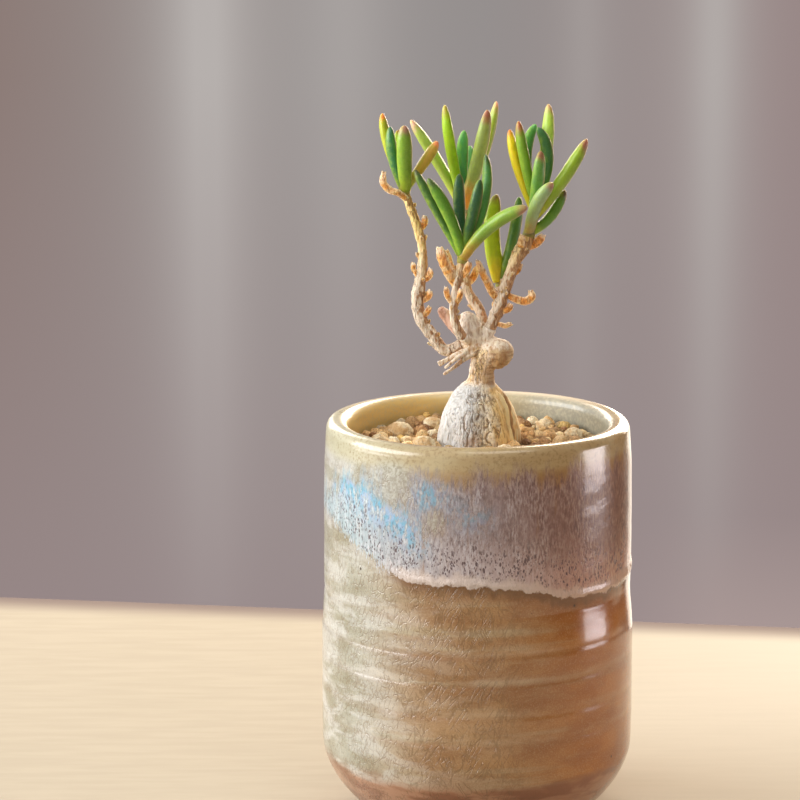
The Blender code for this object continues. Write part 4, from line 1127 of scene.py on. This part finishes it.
def make_dry_leaves(side, material, seed):
    verts, faces, facts = [], [], []
    for number, (table, width) in enumerate(DRY_LEAVES[side]):
        more, more_faces, more_facts = dry_leaf(table, width, seed + number)
        join(verts, faces, more, more_faces)
        facts += more_facts
    rng = random.Random(seed + 50)
    branch = smooth_path(BRANCHES[side], 8)
    for number in range(FLAKES[side]):
        i = rng.randrange(2, len(branch) - 8)
        spot, radius = Vector(branch[i][:3]), branch[i][3]
        along = (Vector(branch[i + 2][:3]) - spot).normalized()
        out = Vector((rng.gauss(0, 1), rng.gauss(0, 0.7), 0)).normalized()
        out = (out - out.dot(along) * along).normalized()
        length = rng.uniform(0.6, 1.5)
        table = [spot + out * (radius * 0.85), spot + out * (radius + 0.15) + along * length * 0.45]
        table.append(spot + out * (radius + rng.uniform(0.1, 0.45)) + along * length)
        more, more_faces, more_facts = dry_leaf(table, rng.uniform(0.35, 0.7), seed + 70 + number)
        join(verts, faces, more, more_faces)
        facts += [(share, edge, 0.7) for share, edge, _ in more_facts]
    piece = add_mesh(f"{side}_dry_leaves", [v * MM for v in verts], faces, [material], {"facts": facts})
    fix_normals(piece)
    return dress(piece, "bark", f"{side}_stem")


def fix_normals(piece):
    bm = bmesh.new()
    bm.from_mesh(piece.data)
    bmesh.ops.recalc_face_normals(bm, faces=bm.faces)
    bm.to_mesh(piece.data)
    bm.free()


def dry_material():
    s = Shader("dry_leaf")
    along, edge, odd = s.facts("facts")
    veins = s.noise((2600, 2600, 900), 4.0, 0.6)
    warm = s.ramp(veins, 0.35, 0.65, (170, 106, 36), (236, 176, 88))
    tan = s.ramp(veins, 0.35, 0.65, (180, 134, 78), (238, 206, 152))
    colour = s.ramp(odd, 0.42, 0.62, warm, tan)
    frayed = s.math("MAXIMUM", s.step(edge, 0.45, 0.95), s.step(along, 0.70, 1.0)) * s.step(veins, 0.30, 0.55)
    colour = s.mix(frayed * 0.85, colour, (252, 232, 206))
    normal = s.bump(veins, 0.00016, 0.9)
    return s.finish({
        "Base Color": colour,
        "Roughness": 0.62,
        "Normal": normal,
        "Subsurface Weight": 0.30,
        "Subsurface Radius": (0.8, 0.6, 0.25),
        "Subsurface Scale": 0.0006,
        "Sheen Weight": 0.35,
        "Sheen Tint": srgb(255, 228, 186),
    })


def bark_material():
    s = Shader("bark")
    peel_and_shade, _, tone = s.facts("facts")
    high = s.step(s.parts(s.place)[2], 0.126, 0.142)
    fibres = s.noise((3000, 3000, 420), 4.0, 0.6)
    patches = s.noise((480, 480, 170), 3.0)
    pale = s.ramp(fibres, 0.32, 0.56, (186, 156, 124), (226, 211, 190))
    pale = s.mix(high * 0.8, pale, s.ramp(fibres, 0.32, 0.56, (236, 184, 90), (255, 224, 138)))
    brown = s.ramp(fibres, 0.36, 0.64, (142, 92, 52), (204, 152, 98))
    # Brown where peeled, and painted shade on the sides facing away from the window
    share = peel_and_shade + (tone - 0.35) * 0.45 + (patches - 0.5) * 1.3
    colour = s.mix(s.step(share, 0.36, 0.78) * 0.85, pale, brown)
    cracks = s.borders((1500, 1500, 330), 1.1, 0.8)
    dark = s.step(cracks, 0.07, 0.015) * s.step(patches, 0.40, 0.60)
    colour = s.mix(dark * 0.6, colour, (110, 68, 38))
    normal = s.bump(fibres - dark * 0.8, 0.00024, 0.9)
    return s.finish({
        "Base Color": colour,
        "Roughness": 0.74,
        "Normal": normal,
        "Subsurface Weight": 0.12,
        "Subsurface Radius": (1.0, 0.6, 0.35),
        "Subsurface Scale": 0.0006,
        "Sheen Weight": 0.25,
        "Sheen Tint": srgb(255, 222, 186),
    })


# Caudex


def bulb_rows():
    return [(x, CAUDEX_Y, z, radius) for z, x, radius in BULB]


def bulb_tube():
    """The swollen base in millimetres, furrowed as in the part's source."""
    rows = smooth_path(bulb_rows(), 8)
    points = [Vector(row[:3]) for row in rows]
    sides = 96
    middle = Vector((CAUDEX_X, CAUDEX_Y))
    verts = []
    for row, (across, normal, _) in zip(rows, frames(points, (0, 1, 0))):
        for _, out in spokes(sides, across, normal):
            spot = Vector(row[:3]) + row[3] * out
            away = spot.xy - middle
            bearing = math.atan2(away.y, away.x)
            fade = float(smoothstep((spot.z - 70) / 20) * smoothstep((106 - spot.z) / 8))
            furrow = math.sin(7 * bearing + 0.8) + 0.7 * math.sin(3 * bearing + 1.9)
            moved = middle + away * (1 + 0.030 * fade * furrow)
            verts.append(Vector((moved.x, moved.y, spot.z)))
    verts += [points[0], points[-1]]
    return verts, tube_faces(len(rows), sides)


def caudex_tubes():
    """The bulb, the lobe behind it, the neck, the stumps of the limbs and the dead sticks."""
    steps = 8
    parts = [bulb_tube(), bark_tube(LOBE, steps, 40, 0.008, 3, rough=0.02, knobs=0.0)]
    parts.append(bark_tube(NECK, steps, 32, 0.02, 4, rough=0.04, knobs=0.4))
    for number, (side, stump) in enumerate(STUMPS.items()):
        if stump:
            limb = (*stump, *BRANCHES[side], *CORES[side])
            parts.append(bark_tube(limb, steps, 22, 0.05, 11 + number, 0, (len(stump) - 1) * steps))
    parts += [bark_tube(table, steps, 22, 0.05, 21 + k) for k, table in enumerate((KNOT, PINK_STUB))]
    return parts + [bark_tube(table, steps, 14, 0.06, 31 + k) for k, table in enumerate(DEAD_STICKS)]


def make_caudex(material):
    points, normals, faces = fuse("caudex_bark", caudex_tubes(), 0.22)
    x, y, z = points.T
    bearing = np.degrees(np.arctan2(x - CAUDEX_X, -(y - CAUDEX_Y)))
    on_bulb = smoothstep((104.5 - z) / 2.0)
    lobe_depth = depth_under(points, LOBE)
    # How far a point is past the lobe into the bulb, and the side on which the two meet
    past = depth_under(points, bulb_rows()) - lobe_depth
    meeting = (x > 1) * smoothstep((103 - z) / 3)
    lobe = smoothstep((0.1 - past) / 0.6) * smoothstep((104.0 - z) / 2)
    # Upright wrinkles, deepest up the middle of the front, and one long crack on the left of it
    drift = [noise_at(points, (0.5, 0.5, 0.25), shift) for shift in (3.0, 8.0, 12.0)]
    warped = points + 1.2 * np.stack(drift, axis=-1)
    fine = noise_at(warped, (1.0, 1.0, 0.13), 1.0)
    finer = noise_at(warped, (2.3, 2.3, 0.32), 5.0)
    crack = np.clip(1 - np.abs(fine) / 0.13, 0, 1) + 0.6 * np.clip(1 - np.abs(finer) / 0.12, 0, 1)
    network = 1.5 * bell(bearing, 16, 34) + 0.25
    long_line = -2.4 - 0.10 * (z - 88) + 0.35 * np.sin(z * 1.1) + 0.18 * np.sin(z * 2.7)
    long_crack = bell(x, long_line, 0.17) * (y < CAUDEX_Y)
    long_crack *= smoothstep(z - 87.5) * smoothstep((98.6 - z) / 2.0)
    depth = on_bulb * (1 - lobe) * np.maximum(network * crack, 2.0 * long_crack)
    lumps = noise_at(points, (0.35, 0.35, 0.2), 20.0)
    rest = 0.07 * noise_at(points, (2.4, 2.4, 1.2), 2.0) + 0.05 * noise_at(points, (5, 5, 2.5), 6.0)
    move = on_bulb * ((0.20 - 0.12 * lobe) * lumps + 0.05 * finer) + (1 - on_bulb) * rest
    move -= 0.28 * np.clip(depth, 0, 1.6)
    # A swelling along the bulb's right edge, and a crease between it and the lobe
    move += meeting * (0.50 * bell(past, 1.0, 0.6) - 0.65 * bell(past, -0.35, 0.50))
    points = points + normals * move[:, None]
    golden = smoothstep((bearing - 20 + 26 * lumps) / 44) * smoothstep((150 - np.abs(bearing)) / 30)
    golden = np.clip(golden * on_bulb + 0.6 * lobe, 0, 1)
    neck = smoothstep((z - 103.4) / 1.2) * smoothstep((113.6 - z) / 1.0)
    # A pale band along the swelling where the bulb meets the lobe: painted highlight
    ridge = meeting * bell(past + 0.25 * np.sin(z * 1.3), 1.3, 1.0)
    # Painted shadow that the bulb casts on the lobe beside their crease
    heights, centres, reaches = np.array(BULB).T
    beside = x - np.interp(z, heights, centres + reaches) + 0.12 * np.sin(z * 2.1)
    painted_crease_shadow = bell(beside, 0.86, 0.36) * (y > CAUDEX_Y) * smoothstep(6.5 - y) * smoothstep((103 - z) / 2)
    painted_crease_shadow *= smoothstep((lobe_depth + 0.9) / 0.5)
    facts = facts_of(golden, np.clip(np.maximum(depth, painted_crease_shadow), 0, 1), neck)
    zones = facts_of(ridge * (1 - lobe), lobe, smoothstep((113.0 - z) / 2.0))
    piece = add_mesh("caudex_skin", points * MM, faces, [material], {"facts": facts, "zones": zones})
    return dress(piece, "caudex", "caudex")


def depth_under(points, table):
    """How far inside a limb's skin each point lies, in millimetres. Below 0 is outside."""
    best = np.full(len(points), -1e9)
    for row in smooth_path(table, 6):
        away = np.linalg.norm(points - np.array(row[:3]), axis=1)
        best = np.maximum(best, row[3] - away)
    return best


def caudex_material():
    s = Shader("caudex_skin")
    golden, depth, neck = s.facts("facts")
    ridge, lobe, low_part = s.facts("zones")
    x, _, z = s.parts(s.place)
    fibres = s.noise((1500, 1500, 260), 5.0, 0.65)
    patches = s.noise(300, 4.0, 0.6)
    speckle = s.noise(1500, 3.0, 0.6)
    grey = s.ramp(fibres, 0.30, 0.56, (168, 164, 157), (205, 204, 202))
    sandy = s.ramp(fibres, 0.34, 0.60, (226, 204, 168), (254, 246, 226))
    grey = s.mix(s.step(x + (patches - 0.5) * 0.006, -0.0018, 0.0022), grey, sandy)
    gold = s.ramp(fibres, 0.30, 0.56, (208, 164, 98), (252, 222, 154))
    share = s.step(golden + (patches - 0.5) * 1.3, 0.15, 0.85)
    colour = s.mix(share, grey, gold)
    shaded = s.ramp(fibres, 0.34, 0.60, (238, 192, 124), (255, 240, 196))
    colour = s.mix(lobe * 0.85, colour, shaded)
    # The ridge's cream is painted highlight
    colour = s.mix(s.step(ridge, 0.25, 0.85) * 0.80, colour, (255, 238, 184))
    rosy = s.step(z, 0.0975, 0.0900) * s.step(patches, 0.44, 0.62) * s.step(x, -0.0065, -0.0030) * 0.45
    colour = s.mix(rosy, colour, (190, 146, 116))
    # Wood of the neck and of the limbs' stumps
    upper = s.step(z, 0.1035, 0.1050)
    wood = s.ramp(fibres, 0.34, 0.58, (196, 156, 116), (244, 230, 208))
    colour = s.mix(upper, colour, wood)
    # The knot is whitish and the stub beside it rosy
    knot = s.ramp(fibres, 0.34, 0.58, (204, 186, 170), (252, 246, 236))
    colour = s.mix(s.step(z, 0.1145, 0.1162) * 0.7, colour, knot)
    rose = s.step(x, -0.0042, -0.0060) * s.step(z, 0.1150, 0.1165)
    colour = s.mix(rose * 0.7, colour, s.ramp(fibres, 0.34, 0.58, (196, 130, 104), (240, 196, 176)))
    # The knob and the right of the neck are golden and smooth, with rings round the knob's underside
    drift = (patches - 0.5) * 0.008
    across = x + drift
    knob = neck * s.step(across, 0.0004, 0.0038)
    smooth_gold = s.ramp(patches, 0.35, 0.65, (170, 122, 68), (210, 178, 126))
    # Paler on the knob's top half: painted top light
    smooth_gold = s.mix(s.step(z + drift, 0.1108, 0.1150), smooth_gold, (218, 194, 150))
    colour = s.mix(knob * 0.85, colour, smooth_gold)
    hoops = s.step(s.noise((330, 330, 2300)), 0.54, 0.42) * knob * s.step(z, 0.1138, 0.1118)
    colour = s.mix(hoops * 0.50, colour, (150, 96, 50))
    # Peeling brown plates on the neck
    plates = s.borders((1300, 1300, 760), 1.2, 1.4)
    gaps = s.step(plates, 0.10, 0.02) * s.step(speckle, 0.38, 0.55)
    middle = s.step(across, -0.0024, -0.0010) * s.step(across, 0.0022, 0.0004)
    middle *= s.step(z + drift, 0.1045, 0.1075) * neck
    scaly = s.ramp(s.noise((1500, 1500, 900), 3.0), 0.40, 0.60, (150, 106, 56), (240, 206, 142))
    colour = s.mix(middle * 0.7, colour, scaly)
    peel = gaps * middle
    colour = s.mix(peel * 0.65, colour, (96, 62, 34))
    splits = s.borders((1200, 1200, 180), 0.9, 0.9)
    lines = s.step(splits, 0.06, 0.01) * s.step(speckle, 0.44, 0.60) * (1.0 - golden * 0.75) * low_part
    colour = s.mix(lines * 0.36, colour, (128, 98, 70))
    # Darker in the wrinkles and the crease: painted shade
    colour = s.mix(s.step(depth, 0.25, 0.95) * 0.60, colour, (134, 98, 60))
    painted_crease_shadow = s.step(depth, 0.15, 0.70) * s.step(x, 0.0035, 0.0055)
    colour = s.mix(painted_crease_shadow * 0.50, colour, (156, 102, 50))
    normal = s.bump(fibres * (0.8 - knob * 0.6) - lines - peel, 0.00026, 0.9)
    return s.finish({
        "Base Color": colour,
        "Roughness": 0.70,
        "Normal": normal,
        "Subsurface Weight": 0.08,
        "Subsurface Radius": (1.0, 0.7, 0.4),
        "Subsurface Scale": 0.0006,
        "Sheen Weight": 0.10,
        "Sheen Tint": srgb(255, 222, 186),
    })


# Soil and stones, in millimetres. The bed's top lies under the grains that rest at the soil's top.

SOIL_TOP, SOIL_RADIUS = 89.0, 30.5
BED_FLOOR, BED_TOP = 9.0, 88.2
# What the bulb and the lobe take up at the soil's top
BULB_RADIUS = 8.8
LOBE_X, LOBE_Y, LOBE_RADIUS = 5.4, 5.8, 4.9
# Each stone's middle and radius
STONES = (
    (-12.8, -4.6, 3.2), (-23.4, 1.6, 2.2), (-18.6, 12.6, 3.1), (-10.6, 19.4, 2.8), (23.0, 7.4, 2.7),
    (16.4, 18.2, 2.4), (6.2, -10.6, 2.3), (-17.8, -14.6, 2.6), (-6.4, -19.2, 2.9), (11.4, -20.6, 2.7),
    (21.6, -8.8, 2.5), (2.6, 24.6, 2.7), (1.4, -25.6, 2.2), (-25.0, -6.8, 1.9),
)
GRAIN_COLOURS = (
    (226, 194, 146), (210, 172, 120), (184, 146, 100), (234, 208, 160), (216, 178, 124), (240, 220, 176),
    (230, 194, 120), (168, 128, 86), (244, 230, 198), (218, 184, 132), (148, 108, 74),
)
# Grains from small to large: spacing, tries, reach, room by a stone and by the bulb, radii, heights, facets
GRAIN_SIZES = (
    (1.7, 14000, 29.5, 0.2, -0.2, (0.60, 1.05), (-0.4, 1.1), 6),
    (2.5, 7000, 28.9, 0.6, 0.3, (1.15, 1.65), (-0.4, 0.7), 9),
    (3.4, 700, 28.2, 0.9, 0.8, (1.7, 2.3), (-0.4, 0.5), 11),
)


def unit_grain(subdivisions):
    bm = bmesh.new()
    bmesh.ops.create_icosphere(bm, subdivisions=subdivisions, radius=1.0)
    verts = np.array([tuple(v.co) for v in bm.verts])
    faces = [tuple(v.index for v in f.verts) for f in bm.faces]
    bm.free()
    return verts, faces


def rough_stone(shape, radius, flat, rng, lumps=0.16, facets=9, pits=0.0):
    """A broken, lumpy stone about the origin, in millimetres. Planes cut its sides flat."""
    points = shape * np.array((rng.uniform(0.82, 1.15), rng.uniform(0.82, 1.15), flat))
    for _ in range(facets):
        way = np.array(Vector([rng.gauss(0, 1) for _ in range(3)]).normalized())
        over = points @ way - rng.uniform(0.70, 0.90)
        points = points - np.clip(over, 0, None)[:, None] * way * 0.88
    shift = rng.uniform(-50, 50)
    grow = lumps * (noise_at(points, 1.6, shift) + 0.45 * noise_at(points, 4.0, shift + 7))
    if pits:
        holes = np.clip(noise_at(points, 7.0, shift + 13) - 0.15, 0, 1)
        grow -= pits * (holes - 0.25 * noise_at(points, 12.0, shift + 3))
    points = points * (1 + grow)[:, None] * radius
    spin = Matrix.Rotation(rng.uniform(0, 2 * math.pi), 3, "Z")
    return points @ np.array(spin).T


def make_bed(material):
    """The bed under the grains, which fills the pot."""
    profile = [(22.0, BED_FLOOR), (28.0, 12.0), (SOIL_RADIUS - 0.1, 18.0)]
    profile += [(SOIL_RADIUS, 18.0 + 7.0 * k) for k in range(1, 10)] + [(SOIL_RADIUS, BED_TOP - 0.2)]
    profile += [(SOIL_RADIUS - 1.2 * k, BED_TOP) for k in range(1, 26)]
    sides = 120
    verts = []
    for radius, height in profile:
        for k in range(sides):
            angle = 2 * math.pi * k / sides
            x, y = radius * math.sin(angle), -radius * math.cos(angle)
            lift = 0.45 * noise.noise(Vector((x, y, 0)) * 0.45) if height > 87 and radius < 30 else 0.0
            verts.append(Vector((x, y, height + lift)) * MM)
    verts += [Vector((0, 0, height)) * MM for height in (BED_FLOOR, BED_TOP)]
    piece = add_mesh("soil_bed", verts, tube_faces(len(profile), sides), [material])
    return dress(piece, "soil", "soil")


def grain_spots(rng):
    """Where grains lie clear of the stones and the caudex, as x, y and size, the large ones first."""
    spots = []
    for size in (2, 1, 0):
        spacing, tries, reach, by_stone, by_bulb = GRAIN_SIZES[size][:5]
        mixed = 0.5 * (spacing + 2.9)
        for _ in range(tries):
            r, a = reach * math.sqrt(rng.random()), rng.uniform(0, 2 * math.pi)
            x, y = r * math.cos(a), r * math.sin(a)
            if any(math.hypot(x - sx, y - sy) < radius + by_stone for sx, sy, radius in STONES):
                continue
            if math.hypot(x - CAUDEX_X, y - CAUDEX_Y) < BULB_RADIUS + by_bulb:
                continue
            if math.hypot(x - LOBE_X, y - LOBE_Y) < LOBE_RADIUS:
                continue
            apart = ((sx, sy, spacing if size == kind else mixed) for sx, sy, kind in spots)
            if all(math.hypot(x - sx, y - sy) >= room for sx, sy, room in apart):
                spots.append((x, y, size))
    return spots


def make_grains(material):
    """Loose, crumbly grains of mixed sizes over the bed. They lie a little higher toward the back."""
    rng = random.Random(29)
    shapes = (unit_grain(3), unit_grain(3), unit_grain(4))
    spots = grain_spots(rng)
    for name, sizes in (("soil_grains", (1, 2)), ("soil_crumbs", (0,))):
        verts, faces, tints = [], [], []
        for x, y, size in (spot for spot in spots if spot[2] in sizes):
            radii, heights, facets = GRAIN_SIZES[size][5:]
            radius = rng.uniform(*radii)
            shape, shape_faces = shapes[size]
            points = rough_stone(shape, radius, rng.uniform(0.72, 0.95), rng, 0.20, facets)
            lean = [Matrix.Rotation(rng.uniform(-0.5, 0.5), 3, axis) for axis in "XY"]
            points = points @ np.array(lean[0] @ lean[1]).T
            height = SOIL_TOP + rng.uniform(*heights) + 0.9 * float(smoothstep((y - 8) / 20))
            pull = min(1.0, 30.2 / (math.hypot(x, y) + radius))
            points += (x * pull, y * pull, height)
            colour = linear(rng.choice(GRAIN_COLOURS)) * rng.uniform(0.78, 1.62)
            join(verts, faces, [p * MM for p in points], shape_faces)
            tints += [(*colour, 1.0)] * len(points)
        dress(add_mesh(name, verts, faces, [material], {"tint": tints}), "soil", "soil")


def soil_material(name, with_tint):
    s = Shader(name)
    speckle = s.noise(2600, 4.0, 0.65)
    patches = s.noise(600, 3.0)
    # The bed's dark brown is painted shade in the gaps between the grains
    base = s.tint() if with_tint else s.ramp(patches, 0.4, 0.6, (58, 36, 22), (96, 64, 40))
    colour = s.mix(s.step(speckle, 0.52, 0.66) * 0.60, base, (236, 210, 170))
    colour = s.mix(s.step(speckle, 0.47, 0.34) * 0.70, colour, (88, 56, 34))
    # Darker in the pits: painted shade
    holes = s.step(s.cells(s.place, 2300), 0.34, 0.16)
    colour = s.mix(holes * 0.30, colour, (70, 42, 28))
    lumps = s.noise(1100, 3.0, 0.6)
    relief = lumps * 1.2 + speckle
    normal = s.bump(relief - holes * 0.6, 0.0005, 1.0)
    return s.finish({"Base Color": colour, "Roughness": 0.92, "Normal": normal})


def pumice_material():
    s = Shader("pumice")
    speckle = s.noise(1700, 4.0, 0.65)
    patches = s.noise(420, 3.0)
    colour = s.ramp(patches, 0.36, 0.64, (212, 178, 130), (240, 228, 196))
    colour = s.mix(s.step(speckle, 0.50, 0.36) * 0.5, colour, (180, 134, 88))
    # Darker in the pits: painted shade
    holes = s.step(s.cells(s.place, 2100), 0.30, 0.12)
    colour = s.mix(holes * 0.45, colour, (150, 112, 76))
    normal = s.bump(speckle - holes * 0.7, 0.0003, 0.9)
    return s.finish({"Base Color": colour, "Roughness": 0.88, "Normal": normal})


def make_pumice(material):
    shape, faces = unit_grain(5)
    for number, (x, y, radius) in enumerate(STONES):
        rng = random.Random(400 + number)
        points = rough_stone(shape, radius, 0.80, rng, lumps=0.14, facets=8, pits=0.10)
        points = points * 0.99 + np.array((x, y, SOIL_TOP + 1.0))
        name = f"pumice_{number + 1:02d}"
        piece = add_mesh(f"stone_{number + 1:02d}", points * MM, faces, [material])
        dress(piece, "pumice", name)


def screen_material():
    s = Shader("drain_screen")
    scuffs = s.noise(1800, 3.0)
    colour = s.ramp(scuffs, 0.4, 0.65, (38, 38, 38), (62, 60, 58))
    normal = s.bump(scuffs, 0.0001, 0.4)
    return s.finish({"Base Color": colour, "Roughness": 0.6, "Normal": normal})


# Stage


def make_table():
    """A pale tabletop. Its back edge is darker, and runs behind the pot a little askew."""
    s = Shader("tabletop")
    grain = s.noise((40, 260, 40), 3.0)
    colour = s.ramp(grain, 0.3, 0.7, (171, 161, 144), (176, 166, 149))
    # Brighter toward the right as painted light, and darker toward the far left as painted shade
    x = s.parts(s.place)[0]
    colour = s.ramp(x, -0.05, 0.20, colour, (201, 193, 179))
    colour = s.ramp(x, -0.16, -0.50, colour, (120, 112, 101))
    colour = s.ramp(s.facts("edge")[0], 0.976, 1.0, colour, (120, 106, 101))
    material = s.finish({"Base Color": colour, "Roughness": 0.9, "Specular IOR Level": 0.15})
    left, right, front = -0.60, 0.24, -0.60
    # Two points on the back edge
    start_x, start_y, end_x, end_y = -0.1346, 0.207, 0.0944, 0.1716
    slope = (end_y - start_y) / (end_x - start_x)
    columns, rows = 61, 81
    verts, edges = [], []
    for j in range(rows):
        for i in range(columns):
            x = left + (right - left) * i / (columns - 1)
            share = 1 - (1 - j / (rows - 1)) ** 2
            back = start_y + slope * (x - start_x)
            verts.append((x, front + (back - front) * share, 0.0))
            edges.append((share, 0.0, 0.0))
    table = add_mesh("tabletop", verts, grid_faces(rows, columns), [material], {"edge": edges})
    thick = table.modifiers.new("thick", "SOLIDIFY")
    thick.thickness = 0.02
    thick.offset = -1


# Each fold's bearing and width in radians, and how bright it is
CURTAIN_FOLDS = ((-0.0475, 0.0105, 1.0), (-0.013, 0.012, 0.45), (0.0767, 0.0075, 0.8), (0.045, 0.006, 0.3))


def make_world():
    """A soft backdrop for the camera, and the room that lights the part and is mirrored in it."""
    world = bpy.data.worlds.new("studio")
    bpy.context.scene.world = world
    world.use_nodes = True
    s = Nodes(world.node_tree)
    x, y, z = s.parts(s.add("ShaderNodeTexCoord", output="Generated"))
    bearing = s.math("ARCTAN2", x, y)
    ahead = s.slope(y, 0.3, 0.8)
    cloth = s.mix(s.slope(bearing, -0.10, -0.02) * ahead, (138, 120, 115), (145, 139, 138))
    cloth = s.mix(s.slope(bearing, 0.02, 0.09) * ahead, cloth, (149, 131, 130))
    # Soft upright folds of a curtain far behind, their pale stripes painted light, then a paler blur low on
    # the right
    folds = None
    for place, width, size in CURTAIN_FOLDS:
        away = (bearing - place) / width
        fold = size / (away * away + 1.0)
        folds = fold if folds is None else folds + fold
    cloth = s.mix(folds, cloth, (182, 176, 173))
    cloth = s.mix(s.slope(z, -0.27, -0.12), (152, 137, 137), cloth)
    blur = s.slope(z, -0.225, -0.258) * s.slope(bearing, 0.050, 0.080) * ahead
    cloth = s.mix(blur, cloth, (172, 154, 151))
    seen = s.add("ShaderNodeBackground", {0: cloth, 1: 1.0})
    # The room is bright above and to the left, dark and brown to the right
    room = s.mix(s.slope(z, -0.5, 0.9), (150, 128, 112), (236, 232, 228))
    room = s.mix(s.slope(x, 0.05, 0.75, 0.8), room, (104, 76, 58))
    unseen = s.add("ShaderNodeBackground", {0: room, 1: 0.70})
    camera_ray = s.add("ShaderNodeLightPath", output="Is Camera Ray")
    s.close("ShaderNodeOutputWorld", s.add("ShaderNodeMixShader", {0: camera_ray, 1: unseen, 2: seen}))


make_table()
make_world()
area_light("window_left", (-1.15, -0.17, 0.47), (0, 0, 0.09), (1.33, 0.70), 24.5, (0.97, 0.99, 1.0))
area_light("window_right", (0.88, 0.08, -0.01), (0, 0, 0.06), (0.36, 0.17), 1.5, (1.0, 0.93, 0.96))
area_light("window_left_low", (-0.88, 0.0, 0.11), (0, 0, 0.06), (0.44, 0.24), 0.8, (0.98, 0.99, 1.0))
area_light("backlight", (0.30, 0.84, 0.38), (0, 0, 0.12), (0.42, 0.60), 13.0, (1.0, 0.84, 0.66))
area_light("backlight_left", (-0.34, 0.86, 0.42), (0, 0, 0.12), (0.30, 0.50), 4.0, (1.0, 0.88, 0.74))
area_light("overhead", (0.16, -0.30, 1.10), (0, 0, 0.10), (0.60, 0.60), 3.0, (1.0, 0.95, 0.87))
area_light("low_back", (0.31, 0.93, -0.10), (0, 0, 0.06), (0.40, 0.45), 1.0, (1.0, 0.90, 0.76))

make_pot(glaze_material())
leaf_skin = leaf_material()
for branch_side in CORES:
    make_leaves(branch_side, leaf_skin)
bark_skin, dry_skin = bark_material(), dry_material()
for branch_number, branch_side in enumerate(DRY_LEAVES):
    make_stem(branch_side, bark_skin, 41 + branch_number)
    make_dry_leaves(branch_side, dry_skin, 60 + 10 * branch_number)
make_caudex(caudex_material())
make_bed(soil_material("soil_bed", False))
make_grains(soil_material("soil_grain", True))
make_pumice(pumice_material())
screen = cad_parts["drain_screen"]
screen.data.materials.clear()
screen.data.materials.append(screen_material())

bpy.context.scene.view_settings.view_transform = "Standard"
